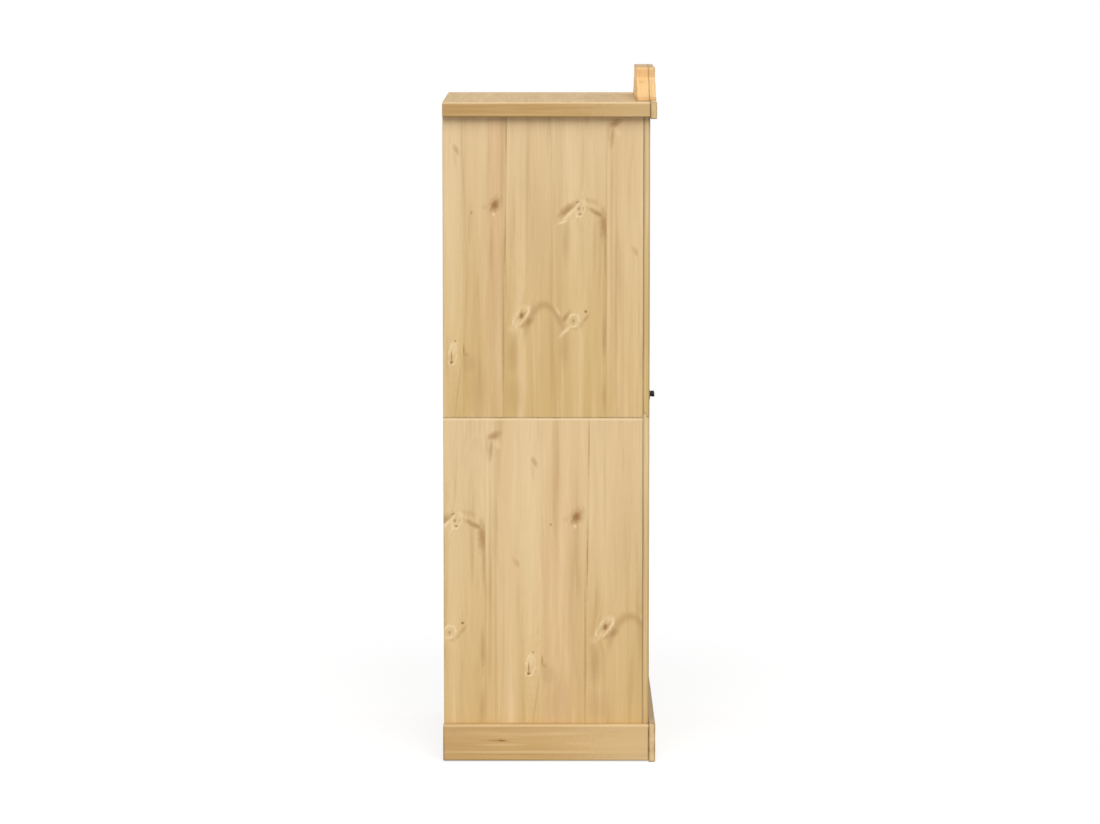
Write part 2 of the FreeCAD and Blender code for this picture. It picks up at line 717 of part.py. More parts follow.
def hinge_leaf(way, own, others):
    """One leaf with its own knuckles, cut clear of the other leaf's; way is -1 or 1 along X."""
    near = value("door_gap / 2")
    low_x = near if way > 0 else -near - value("leaf_thickness")
    leaf = Part.makeBox(value("leaf_thickness"), value("leaf_depth"), value("hinge_height"),
                        FreeCAD.Vector(low_x, 0, 0))
    for span in others:
        leaf = leaf.cut(tube_at(span, value("notch_radius"), value("knuckle_gap")))
    for span in own:
        leaf = leaf.fuse(tube_at(span, value("knuckle_radius")))
    leaf = leaf.cut(tube_at((0, value("hinge_height")), value("pin_radius + pin_play"), value("cut_overrun")))
    for hole in hinge_screw_places():
        sink = Part.makeCone(value("hinge_screw_head_radius + screw_play"),
                             value("hinge_screw_radius + screw_play"),
                             value("leaf_thickness"))
        bore = Part.makeCylinder(value("hinge_screw_radius + screw_play"), value("cut_overrun"))
        tool = sink.fuse(bore)
        tool.Placement = FreeCAD.Placement(FreeCAD.Vector(way * near, hole.y, hole.z),
                                           TURNS["right" if way > 0 else "left"])
        leaf = leaf.cut(tool)
    return leaf.removeSplitter()


def hinge_screw_places():
    depth = value("hinge_screw_depth")
    return [FreeCAD.Vector(0, depth, value(text))
            for text in ("hinge_screw_inset", "hinge_height - hinge_screw_inset")]


def at_hinges(shapes):
    """Copies of the shapes at the three hinges of the left door."""
    copies = []
    for height in ("hinge_low", "hinge_middle", "hinge_high"):
        for shape in shapes:
            copy = shape.copy()
            copy.translate(FreeCAD.Vector(value("axis_x"), value("axis_y"), value(height)))
            copies.append(copy)
    return copies


def both_sides(shapes):
    return shapes + [reflected(shape) for shape in shapes]


def hinge_screws_of(way):
    screw = countersunk_screw("hinge_screw_radius", "hinge_screw_head_radius", "leaf_thickness",
                              "hinge_screw_length")
    turn = TURNS["right" if way > 0 else "left"]
    screws = []
    for place in hinge_screw_places():
        one = screw.copy()
        one.Placement = FreeCAD.Placement(FreeCAD.Vector(way * value("door_gap / 2"), place.y, place.z), turn)
        screws.append(one)
    return screws


def hinge_pin():
    """A pin with a round head at each end."""
    pin = Part.makeCylinder(value("pin_radius"), value("hinge_height"))
    for level in ("-pin_head", "hinge_height"):
        foot = FreeCAD.Vector(0, 0, value(level))
        pin = pin.fuse(Part.makeCylinder(value("pin_head_radius"), value("pin_head"), foot))
    return pin.removeSplitter()


def hinges():
    spans = hinge_spans()
    frame_leaf = hinge_leaf(-1, (spans[0], spans[2]), (spans[1],))
    door_leaf = hinge_leaf(1, (spans[1],), (spans[0], spans[2]))
    group("hinge_frame_leaves", both_sides(at_hinges([frame_leaf])))
    group("hinge_pins", both_sides(at_hinges([hinge_pin()])))
    group("hinge_frame_screws", both_sides(at_hinges(hinge_screws_of(-1))))
    door_leaves = at_hinges([door_leaf])
    door_screws = at_hinges(hinge_screws_of(1))
    group("left_door_hinge_leaves", door_leaves)
    group("left_door_hinge_screws", door_screws)
    group("right_door_hinge_leaves", [reflected(shape) for shape in door_leaves])
    group("right_door_hinge_screws", [reflected(shape) for shape in door_screws])


# Doors, modelled on the left and mirrored

def door_pieces(label, piece):
    """Keep the left door's piece and add the right door's."""
    node(piece, "left_door_" + label)
    mirrored(piece, "right_door_" + label)


def grooved_section():
    """A door stile in plan, with the groove for panels and tenons along its inner edge."""
    return (
        ("0", "0"),
        ("door_stile", "0"),
        ("door_stile", "groove_near"),
        ("door_stile - groove_depth", "groove_near"),
        ("door_stile - groove_depth", "groove_far"),
        ("door_stile", "groove_far"),
        ("door_stile", "door_board"),
        ("0", "door_board"),
    )


def door_stiles():
    outer = profiled("left_door_hinge_stile", ("door_x", "face_y", "door_z"), "XY_Plane",
                     grooved_section(), "door_height", listed=False)
    ease(outer, "door_arris", both(edges_at("y", "0"), edges_at("x", "0")))
    hinge_recesses(outer, "0", "right", "-door_gap / 2", "hinge_set_back",
                   ("hinge_low - door_z", "hinge_middle - door_z", "hinge_high - door_z"))
    door_pieces("hinge_stile", outer)

    lock = profiled("left_door_lock_stile", ("-door_gap / 2 - door_stile", "face_y", "door_z"), "XY_Plane", (
        ("door_stile", "door_board"),
        ("0", "door_board"),
        ("0", "groove_far"),
        ("groove_depth", "groove_far"),
        ("groove_depth", "groove_near"),
        ("0", "groove_near"),
        ("0", "0"),
        ("door_stile", "0"),
    ), "door_height", listed=False)
    ease(lock, "door_arris", both(edges_at("y", "0"), edges_at("x", "door_stile")))
    drill(lock, ("door_stile - rosette_margin - rosette_radius", "-cut_overrun", "knob_centre - door_z"),
          "backward", "knob_screw_radius + screw_play", "door_board + 2 * cut_overrun")
    door_pieces("lock_stile", lock)


def door_rail(label, foot, height, low_groove, high_groove):
    """A door rail with a groove along each edge that holds a panel, and a tenon at each end."""
    low = "groove_depth" if low_groove else "0"
    high = f"{height} - groove_depth" if high_groove else height
    lower_edge = (("0", "0"), ("groove_near", "0"), ("groove_near", low), ("groove_far", low),
                  ("groove_far", "0"), ("door_board", "0"))
    upper_edge = (("door_board", height), ("groove_far", height), ("groove_far", high),
                  ("groove_near", high), ("groove_near", height), ("0", height))
    plain_low = (("0", "0"), ("door_board", "0"))
    plain_high = (("door_board", height), ("0", height))
    section = (lower_edge if low_groove else plain_low) + (upper_edge if high_groove else plain_high)
    piece = profiled("left_door_" + label, ("door_x + door_stile", "face_y", foot), "YZ_Plane",
                     section, "panel_span", listed=False)
    for start in ("-tongue_reach", "panel_span"):
        add_box(piece, (start, "tongue_inset", low), ("tongue_reach", "tongue", f"{high} - {low}"))
    door_pieces(label, piece)


def door_rails():
    door_rail("bottom_rail", "door_z", "door_bottom_rail", False, True)
    door_rail("middle_rail", "middle_rail_z", "door_middle_rail", True, True)
    door_rail("top_rail", "door_top - door_top_rail", "door_top_rail", True, False)


def raised_panel(label, foot, head):
    """A panel whose tongue sits in the frame's grooves and whose field stands forward."""
    piece = body("left_door_" + label, ("door_x + door_stile - tongue_reach", "face_y + tongue_inset",
                                        f"{foot} - tongue_reach"), listed=False)
    width = "(panel_span + 2 * tongue_reach)"
    height = f"({head} - ({foot}) + 2 * tongue_reach)"
    pad(piece, outline(piece, "XZ_Plane", rectangle(width, height)), "tongue")
    skirts = []
    for inset, level in (("(tongue_reach + panel_margin)", "0"),
                         ("(tongue_reach + panel_margin + bevel_width)", "field_rise")):
        sketch = outline(piece, "XZ_Plane", (
            (inset, inset),
            (f"{width} - {inset}", inset),
            (f"{width} - {inset}", f"{height} - {inset}"),
            (inset, f"{height} - {inset}"),
        ))
        bind(sketch, "AttachmentOffset.Base.z", level)
        skirts.append(sketch)
    field = piece.newObject("PartDesign::AdditiveLoft", piece.Name + "_field")
    field.Profile = skirts[0]
    field.Sections = [skirts[1]]
    field.Ruled = True
    door_pieces(label, piece)


def door_panels():
    raised_panel("lower_panel", "lower_panel_z", "middle_rail_z")
    raised_panel("upper_panel", "upper_panel_z", "door_top - door_top_rail")


def turned_piece(label, points):
    """A round piece about the knob's line, drawn with its own +Y pointing out of the door."""
    piece = DOCUMENT.addObject("PartDesign::Body", "left_door_" + label)
    piece.Placement = FreeCAD.Placement(FreeCAD.Vector(), FreeCAD.Rotation(FreeCAD.Vector(0, 0, 1), 180))
    settle(piece, ("knob_x", "face_y", "knob_centre"))
    sketch = outline(piece, "XY_Plane", points)
    feature = piece.newObject("PartDesign::Revolution", piece.Name + "_turning")
    feature.Profile = sketch
    feature.ReferenceAxis = (sketch, ["V_Axis"])
    feature.Angle = 360
    door_pieces(label, piece)


def knobs():
    turned_piece("rosette", (
        ("stem_radius + stem_play", "0"),
        ("rosette_radius", "0"),
        ("rosette_radius", "rosette_rim"),
        ("rosette_land", "rosette_rise", "rosette_crown", 1),
        ("stem_radius + stem_play", "rosette_rise"),
    ))
    turned_piece("knob", (
        ("0", "knob_screw_bite"),
        ("knob_screw_radius + stem_play", "knob_screw_bite"),
        ("knob_screw_radius + stem_play", "0"),
        ("stem_radius", "0"),
        ("stem_radius", "rosette_rise"),
        ("neck_radius", "rosette_rise"),
        ("neck_radius", "rosette_rise + neck_length"),
        ("head_radius", "rosette_rise + neck_length + head_radius - neck_radius"),
        ("head_radius", "knob_reach - head_arris"),
        ("head_radius - head_arris", "knob_reach", "head_arris", 1),
        ("0", "knob_reach"),
    ))
    screw = round_head_screw("knob_screw_radius", "knob_screw_head_radius", "door_board + knob_screw_bite")
    left = turned(screw, "forward", ("knob_x", "door_back_y", "knob_centre"))
    group("left_door_knob_screw", [left])
    group("right_door_knob_screw", [reflected(left)])


def strikes():
    """The steel plates that the catches hold."""
    piece = plank("left_door_strike",
                  ("catch_x - strike_width / 2", "door_back_y", "door_top - strike_height - door_gap"),
                  ("strike_width", "strike_thickness", "strike_height"), "strike_thickness / 4", listed=False)
    door_pieces("strike", piece)


# Making, checking and writing

def check_document():
    """Stop if a feature failed, a cut removed nothing or a piece is no sound solid."""
    for thing in DOCUMENT.Objects:
        if "Invalid" in thing.State or "Error" in thing.State:
            raise RuntimeError(f"{thing.Label} failed: {thing.State}")
    for feature, before in CUTS:
        if feature.Shape.Volume >= before.Shape.Volume:
            raise RuntimeError(f"{feature.Label} cuts nothing")
    for thing in NODES:
        if thing.Shape.isNull() or not thing.Shape.isValid() or not thing.Shape.Solids:
            raise RuntimeError(f"{thing.Label} is not a sound solid")


def write_parts():
    os.makedirs("parts", exist_ok=True)
    for thing in NODES:
        thing.Shape.exportStep(f"parts/{thing.Label}.step")
    print(len(NODES), "nodes written")


fill_sheets()
side_panels()
stiles()
face_rails()
level_boards()
back_panels()
cornice()
crest()
plinth()
cleats()
cleat_screws()
shelf_pegs()
catches()
hinges()
door_stiles()
door_rails()
door_panels()
knobs()
strikes()
DOCUMENT.recompute()
check_document()
write_parts()
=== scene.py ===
import math

import bpy
from bpy.props import FloatProperty, FloatVectorProperty, IntProperty, PointerProperty
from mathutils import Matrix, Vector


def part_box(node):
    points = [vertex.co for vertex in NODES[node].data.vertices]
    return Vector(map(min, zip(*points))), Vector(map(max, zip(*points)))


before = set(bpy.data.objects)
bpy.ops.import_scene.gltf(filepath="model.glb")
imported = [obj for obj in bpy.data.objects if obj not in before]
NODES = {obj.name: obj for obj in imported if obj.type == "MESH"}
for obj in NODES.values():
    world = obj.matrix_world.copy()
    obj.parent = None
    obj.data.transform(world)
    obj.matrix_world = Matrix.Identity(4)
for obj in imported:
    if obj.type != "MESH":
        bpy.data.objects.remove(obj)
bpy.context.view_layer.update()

bl_info = {
    "name": "Tall pine cabinet",
    "version": (1, 0, 0),
    "blender": (4, 5, 0),
    "location": "View3D > Sidebar > Cabinet",
    "description": "Finishes the boards, doors and fittings of a tall waxed pine cabinet and lights it",
    "category": "Object",
}

AXES = {"x": 0, "y": 1, "z": 2}
OTHER_AXES = {"x": ("z", "y"), "y": ("z", "x"), "z": ("x", "y")}
DOORS = ("left_door_", "right_door_")


def tone(red, green, blue):
    """A colour on a screen's scale of 0 to 255, as Blender's linear numbers."""
    def linear(level):
        share = level / 255
        return share / 12.92 if share <= 0.04045 else ((share + 0.055) / 1.055) ** 2.4
    return tuple(linear(level) for level in (red, green, blue))


def colour(name, description, default):
    return FloatVectorProperty(name=name, description=description, subtype="COLOR", size=3,
                               min=0, max=1, default=default)


def length(name, description, default):
    return FloatProperty(name=name, description=description, default=default, unit="LENGTH", precision=4)


def share(name, description, default):
    return FloatProperty(name=name, description=description, default=default, min=0, max=1,
                         subtype="FACTOR")


# What a user would change

class PineFinish(bpy.types.PropertyGroup):
    """Colours and grain of the waxed pine."""

    head: colour("Top of a board", "Pale wood at the upper end of an upright board", tone(228, 199, 153))
    foot: colour("Foot of a board", "Deeper wood at the lower end of an upright board", tone(213, 180, 121))
    gold: colour("Golden wood", "Warm bright wood of the crest", tone(238, 194, 134))
    blush: colour("Rosy wood", "Pinkish tone of the heartwood stripes", tone(222, 185, 139))
    late: colour("Latewood", "Dark line of each growth ring", tone(184, 147, 92))
    deep: colour("Deeper wood", "Browner wood of the cornice and plinth sides", tone(184, 142, 75))
    shade: colour("Shaded grain", "Brown grain that wraps round a knot", tone(174, 134, 86))
    # The pale grain colour is also the colour of the painted highlight under the top edges
    halo: colour("Pale grain", "Pale grain at the edge of a knot", tone(240, 213, 168))
    core: colour("Knot", "Heart of a knot", tone(146, 92, 50))
    # Worn edges: greyer wax, and painted shade where the rounded edges, grooves and foot of a board turn from
    # the light
    worn: colour("Worn edges", "Greyer wax on the edges of the boards", tone(124, 105, 77))
    # Grey of the painted shade on the faces that point up near the top of a board
    dust: colour("Dust", "Grey dust on the top faces of boards", tone(132, 122, 106))
    # Seams: the dark of the joints between planks, and also the painted shade that ambient occlusion puts
    # into the creases and seams between boards
    seam: colour("Seams", "Wax and dust that darken the seams", tone(118, 86, 48))
    ring_pitch: length("Ring pitch", "Distance between growth rings", 0.0062)
    ring_depth: share("Ring depth", "How dark the growth rings are", 0.30)
    streak_depth: share("Streak depth", "How strongly the long streaks show", 0.36)
    shade_depth: share("Shade depth", "How dark the shaded grain is", 0.85)
    joint_depth: share("Joint depth", "How dark the joints between planks are", 0.18)
    # How dark the painted shade in the creases and seams between boards is
    crease_shade_depth: share("Seam depth", "How dark the seams between boards are", 0.85)
    knot_pitch: length("Knot spacing", "Usual distance between knots across a board", 0.19)
    # How far below a board's top the painted shade of its upward faces reaches
    shading_drop: length("Dust drop", "How far below a board's top the dust reaches", 0.007)
    # How far the painted shade of the creases and seams reaches
    crease_shade_reach: length("Seam reach", "How far the dark of a seam spreads", 0.004)
    # How far the darker edges, greyer wax and painted shade, reach
    edge_reach: length("Worn edge", "How far from a board's edges the wax is darker", 0.0028)
    arris: length("Soft edge", "Radius of the softened edges in the light", 0.0022)
    relief: length("Relief", "Depth of the grain that is felt", 0.0006)
    roughness: share("Roughness", "Roughness of the wax", 0.60)
    shine: share("Shine", "How strongly the wax reflects", 0.2)


class FittingFinish(bpy.types.PropertyGroup):
    """Colours of the knobs, hinges, screws, pegs, catches and back."""

    iron: colour("Knobs", "Black iron of the knobs and rosettes", tone(38, 34, 31))
    hinge: colour("Hinges", "Blackened steel of the hinges and strikes", tone(74, 66, 58))
    zinc: colour("Screws", "Zinc plating of the screws and pegs", tone(198, 198, 192))
    plastic: colour("Catches", "Moulded plastic of the catches", tone(226, 220, 205))
    backing: colour("Back boards", "Thin unfinished boards of the back", tone(214, 186, 143))


class StageLayout(bpy.types.PropertyGroup):
    """Camera, lamps and floor."""

    camera_distance: length("Camera distance", "Camera to the middle of the cabinet", 10.202)
    camera_height: length("Camera height", "Camera above the floor", 2.036)
    camera_shift: length("Camera offset", "Camera to the side of the middle", -0.0005)
    camera_tilt: FloatProperty(name="Camera tilt", description="How far the camera looks down",
                               default=math.radians(6.74), unit="ROTATION")
    focal_length: FloatProperty(name="Focal length", description="Lens of the camera", default=133.6,
                                unit="CAMERA")
    sky: share("Sky", "Strength of the light from all round", 0.25)
    main_light: FloatProperty(name="Main light", description="Light from above the camera", default=2.52,
                              min=0)
    main_height: FloatProperty(name="Main light height", description="How high the main light stands",
                               default=math.radians(49), unit="ROTATION")
    main_spread: FloatProperty(name="Main light softness", description="Width of the main light in the sky",
                               default=math.radians(50), unit="ROTATION")
    fill_light: FloatProperty(name="Fill light", description="Light on the front and the back",
                              default=1.1, min=0)
    fill_height: FloatProperty(name="Fill light height", description="How high the fill lights stand",
                               default=math.radians(14), unit="ROTATION")
    floor_width: length("Floor", "Width of the floor", 60)
    floor_bounce: share("Floor bounce", "Grey of the floor that lights the cabinet from below", 0.5)
    floor_shade: share("Floor shade", "How strongly the floor shows the shadow", 0.27)
    fade_start: length("Fade from", "Where the floor starts to fade to plain white", 1.0)
    fade_end: length("Fade to", "Where the floor is plain white", 4.0)


class CabinetSettings(bpy.types.PropertyGroup):
    """All settings of the cabinet."""

    pine: PointerProperty(type=PineFinish)
    fittings: PointerProperty(type=FittingFinish)
    stage: PointerProperty(type=StageLayout)
    first_board: IntProperty(name="First board", description="Number that picks the grain of the boards",
                             default=3, min=0)


# Wiring of materials

class Wiring:
    """Adds nodes to a tree; each method gives the socket that carries its result."""

    STEP = 190            # distance between nodes in the editor
    ROW = 12              # nodes in a row there
    MIX_COLOURS = (6, 7)  # where a mix node has its two colours
    MIX_RESULT = 2        # where it has the mixed one

    def __init__(self, tree):
        self.tree = tree

    def add(self, kind, **settings):
        made = self.tree.nodes.new(kind)
        count = len(self.tree.nodes)
        made.location = (count % self.ROW * self.STEP, -(count // self.ROW) * self.STEP)
        for name, setting in settings.items():
            setattr(made, name, setting)
        return made

    def feed(self, socket, source):
        if isinstance(source, bpy.types.NodeSocket):
            self.tree.links.new(source, socket)
        else:
            socket.default_value = source

    def math(self, operation, *sources, clamp=False):
        made = self.add("ShaderNodeMath", operation=operation, use_clamp=clamp)
        for socket, source in zip(made.inputs, sources):
            self.feed(socket, source)
        return made.outputs[0]

    def plus(self, first, second):
        return self.math("ADD", first, second)

    def minus(self, first, second):
        return self.math("SUBTRACT", first, second)

    def times(self, first, second):
        return self.math("MULTIPLY", first, second)

    def vector(self, x, y, z=0.0):
        made = self.add("ShaderNodeCombineXYZ")
        for socket, source in zip(made.inputs, (x, y, z)):
            self.feed(socket, source)
        return made.outputs[0]

    def parts(self, vector):
        made = self.add("ShaderNodeSeparateXYZ")
        self.feed(made.inputs[0], vector)
        return made.outputs

    def stretch(self, vector, scale, offset=(0, 0, 0)):
        """Scale a vector along each axis, then move it."""
        made = self.add("ShaderNodeVectorMath", operation="MULTIPLY_ADD")
        for socket, source in zip(made.inputs, (vector, scale, offset)):
            self.feed(socket, source)
        return made.outputs[0]

    def noise(self, vector, detail=2.0, roughness=0.5):
        made = self.add("ShaderNodeTexNoise")
        self.feed(made.inputs["Vector"], vector)
        made.inputs["Scale"].default_value = 1.0
        made.inputs["Detail"].default_value = detail
        made.inputs["Roughness"].default_value = roughness
        return made.outputs["Fac"]

    def random(self, number):
        made = self.add("ShaderNodeTexWhiteNoise", noise_dimensions="1D")
        self.feed(made.inputs["W"], number)
        return made.outputs["Value"]

    def rise(self, amount, low, high, start=0.0, end=1.0):
        """A smooth step from start to end while the amount goes from low to high."""
        made = self.add("ShaderNodeMapRange", interpolation_type="SMOOTHSTEP")
        for name, source in (("Value", amount), ("From Min", low), ("From Max", high),
                             ("To Min", start), ("To Max", end)):
            self.feed(made.inputs[name], source)
        return made.outputs[0]

    def mix(self, amount, first, second, kind="MIX"):
        """Mix two colours, each a socket or three numbers."""
        made = self.add("ShaderNodeMix", data_type="RGBA", blend_type=kind)
        self.feed(made.inputs[0], amount)
        for number, source in zip(self.MIX_COLOURS, (first, second)):
            if not isinstance(source, bpy.types.NodeSocket):
                source = (*source[:3], 1.0)
            self.feed(made.inputs[number], source)
        return made.outputs[self.MIX_RESULT]

    def group(self, tree, **sources):
        made = self.add("ShaderNodeGroup", node_tree=tree)
        for name, source in sources.items():
            self.feed(made.inputs[name.replace("_", " ").capitalize()], source)
        return made.outputs

    def bell(self, distance, centre, width):
        """One at the centre, falling to nothing on both sides."""
        apart = self.math("DIVIDE", self.minus(distance, centre), width)
        return self.math("EXPONENT", self.times(self.times(apart, apart), -1.0))


def empty_tree(owner):
    """Empty the nodes of a material or the world and give their wiring."""
    owner.use_nodes = True
    owner.node_tree.nodes.clear()
    return Wiring(owner.node_tree)


def seen_rays(wires):
    """One for what the camera, a reflection or a clear piece looks at, nothing for light that bounces."""
    path = wires.add("ShaderNodeLightPath").outputs
    mirrored = wires.math("MAXIMUM", path["Is Glossy Ray"], path["Is Transmission Ray"])
    return wires.math("MAXIMUM", path["Is Camera Ray"], mirrored)


def new_group(name, inputs, outputs):
    """A node group, its wiring, its inputs and its outputs. An input that has no value is a vector."""
    tree = bpy.data.node_groups.new(name, "ShaderNodeTree")
    for label, value in inputs.items():
        kind = "NodeSocketVector" if value is None else "NodeSocketFloat"
        socket = tree.interface.new_socket(label, in_out="INPUT", socket_type=kind)
        if value is not None:
            socket.default_value = value
    for label in outputs:
        kind = "NodeSocketColor" if label == "Color" else "NodeSocketFloat"
        tree.interface.new_socket(label, in_out="OUTPUT", socket_type=kind)
    wires = Wiring(tree)
    given = wires.add("NodeGroupInput").outputs
    return tree, wires, given, wires.add("NodeGroupOutput").inputs


# Grain, with lengths in metres

PITH_ASIDE = 0.10           # width of the strip across a plank in which its pith lies
PITH_WANDER = 0.05          # how far it wanders to the side along the plank
PITH_DEPTH = 0.012          # how far below the middle of a plank it lies at least
PITH_DEPTH_RANGE = 0.12     # how much deeper it can lie
RING_WOBBLE = 0.011         # unevenness of the growth rings
PLANK_STEP = 3.7            # what each further plank adds to a board's seed
KNOT_SIZE = 0.003           # half width of the smallest stray knot
KNOT_SIZE_RANGE = 0.006     # how much wider the widest one is
KNOT_STRETCH = 2.3          # spacing of stray knots along a board, for one across it
KNOT_BEND = 0.018           # how far the grain bends round a stray knot
RIM_BEND = 0.014            # how far it bends round a drawn one
ARCH_WOBBLE = 0.006         # unevenness of a drawn arch
JOINT_WIDTH = 0.0009        # half width of the line between two planks
MM = 0.001                  # metres in a millimetre

# How often each pattern repeats in a metre across, through and along a board, or over and down a figure
WOBBLE = (34, 34, 2.6)
STREAKS = (42, 42, 2.2)
FIBRES = (900, 900, 14)
ROSY_BANDS = (16, 16, 0.9)
RAGGED_KNOTS = (160, 160, 110)
RAGGED_SPOTS = (150, 90, 0)
PATCHY_RIMS = (70, 45, 0)
BROKEN_JOINTS = (8, 7, 0)


def growth_rings(pine):
    """Rings about a pith below the board: arches on its face, arcs on its ends, lines on its edges."""
    tree, wires, given, results = new_group(
        "growth_rings", {"Place": None, "Seed": 0.0, "Plank": 1.0, "Bend": 0.0},
        ("Late", "Streak", "Fibre", "Blush"))
    across, through, along = wires.parts(given["Place"])
    plank = wires.math("FLOOR", wires.plus(wires.math("DIVIDE", across, given["Plank"]), 0.5))
    seed = wires.plus(given["Seed"], wires.times(plank, PLANK_STEP))
    local = wires.minus(across, wires.times(plank, given["Plank"]))
    sway = wires.noise(wires.vector(seed, 0.5, wires.times(along, 1.5)), detail=1.0)
    sink = wires.noise(wires.vector(seed, 7.5, wires.times(along, 1.1)), detail=1.0)
    pith = wires.math("MULTIPLY_ADD", wires.random(seed), PITH_ASIDE, -PITH_ASIDE / 2)
    pith = wires.plus(pith, wires.math("MULTIPLY_ADD", sway, PITH_WANDER, -PITH_WANDER / 2))
    depth = wires.math("MULTIPLY_ADD", sink, PITH_DEPTH_RANGE, PITH_DEPTH)
    side = wires.minus(local, pith)
    down = wires.plus(through, depth)
    radius = wires.math("SQRT", wires.plus(wires.times(side, side), wires.times(down, down)))
    shifted = wires.vector(wires.plus(across, given["Bend"]), through, along)
    offset = wires.vector(wires.times(seed, 1.7), seed, wires.times(seed, 0.9))
    wobble = wires.noise(wires.stretch(shifted, WOBBLE, offset), detail=3.0)
    radius = wires.plus(wires.plus(radius, given["Bend"]), wires.times(wobble, RING_WOBBLE))
    count = wires.math("DIVIDE", radius, pine.ring_pitch)
    ring = wires.math("FRACT", count)
    weight = wires.math("MULTIPLY_ADD", wires.random(wires.math("FLOOR", count)), 0.75, 0.25)
    late = wires.times(wires.rise(ring, 0.30, 0.92), wires.rise(ring, 0.92, 1.0, 1.0, 0.0))
    wires.feed(results["Late"], wires.times(late, weight))
    streak = wires.noise(wires.stretch(shifted, STREAKS, offset), detail=4.0, roughness=0.6)
    wires.feed(results["Streak"], streak)
    wires.feed(results["Fibre"], wires.noise(wires.stretch(shifted, FIBRES, offset), detail=2.0))
    wires.feed(results["Blush"], wires.noise(wires.stretch(shifted, ROSY_BANDS, offset), detail=1.0))
    return tree


def stray_knots(pine):
    """Small oval knots at random places, shaded on one side, with the grain bent round them."""
    tree, wires, given, results = new_group(
        "stray_knots", {"Place": None, "Seed": 0.0, "Amount": 0.5}, ("Bend", "Core", "Halo", "Shade"))
    across, unused, along = wires.parts(given["Place"])
    pitch = pine.knot_pitch
    tall = pitch * KNOT_STRETCH
    field = wires.vector(
        wires.plus(wires.math("DIVIDE", across, pitch), given["Seed"]),
        wires.math("MULTIPLY_ADD", given["Seed"], 1.31, wires.math("DIVIDE", along, tall)))
    cells = wires.add("ShaderNodeTexVoronoi", voronoi_dimensions="2D")
    wires.feed(cells.inputs["Vector"], field)
    cells.inputs["Scale"].default_value = 1.0
    cells.inputs["Randomness"].default_value = 0.7
    chance, size, lean = wires.parts(cells.outputs["Color"])
    field_x, field_y, unused = wires.parts(field)
    spot_x, spot_y, unused = wires.parts(cells.outputs["Position"])
    side = wires.times(wires.minus(field_x, spot_x), pitch)
    rise = wires.times(wires.minus(field_y, spot_y), tall)
    side = wires.plus(side, wires.times(rise, wires.math("MULTIPLY_ADD", lean, 0.9, -0.45)))
    wide = wires.math("MULTIPLY_ADD", size, KNOT_SIZE_RANGE, KNOT_SIZE)
    far_side = wires.math("DIVIDE", side, wide)
    far_rise = wires.math("DIVIDE", rise, wires.times(wide, 1.5))
    distance = wires.plus(wires.times(far_side, far_side), wires.times(far_rise, far_rise))
    distance = wires.math("SQRT", distance)
    ragged = wires.noise(wires.stretch(given["Place"], RAGGED_KNOTS), detail=2.0)
    distance = wires.plus(distance, wires.math("MULTIPLY_ADD", ragged, 0.9, -0.45))
    present = wires.math("LESS_THAN", chance, given["Amount"])
    swell = wires.times(present, wires.bell(distance, 0.0, 2.6))
    wires.feed(results["Bend"], wires.times(swell, KNOT_BEND))
    wires.feed(results["Core"], wires.times(present, wires.rise(distance, 0.3, 1.2, 0.8, 0.0)))
    pale = wires.times(wires.bell(distance, 1.8, 0.6), wires.rise(far_side, -1.2, 1.6, 0.5, 0.05))
    wires.feed(results["Halo"], wires.times(present, pale))
    dark = wires.times(wires.bell(distance, 2.3, 0.9), wires.rise(far_side, -1.6, 1.6, 0.0, 0.6))
    wires.feed(results["Shade"], wires.times(present, dark))
    return tree


def edge_distance():
    """How far a point on a board is from the nearest edge of the board's box."""
    tree, wires, given, results = new_group("edge_distance", {"Place": None, "Half": None}, ("Distance",))
    away = wires.add("ShaderNodeVectorMath", operation="ABSOLUTE")
    wires.feed(away.inputs[0], given["Place"])
    inside = wires.add("ShaderNodeVectorMath", operation="SUBTRACT")
    wires.feed(inside.inputs[0], given["Half"])
    wires.feed(inside.inputs[1], away.outputs[0])
    first, second, third = wires.parts(inside.outputs[0])
    least = wires.math("MINIMUM", first, second)
    most = wires.math("MAXIMUM", first, second)
    wires.feed(results["Distance"], wires.math("MAXIMUM", least, wires.math("MINIMUM", most, third)))
    return tree


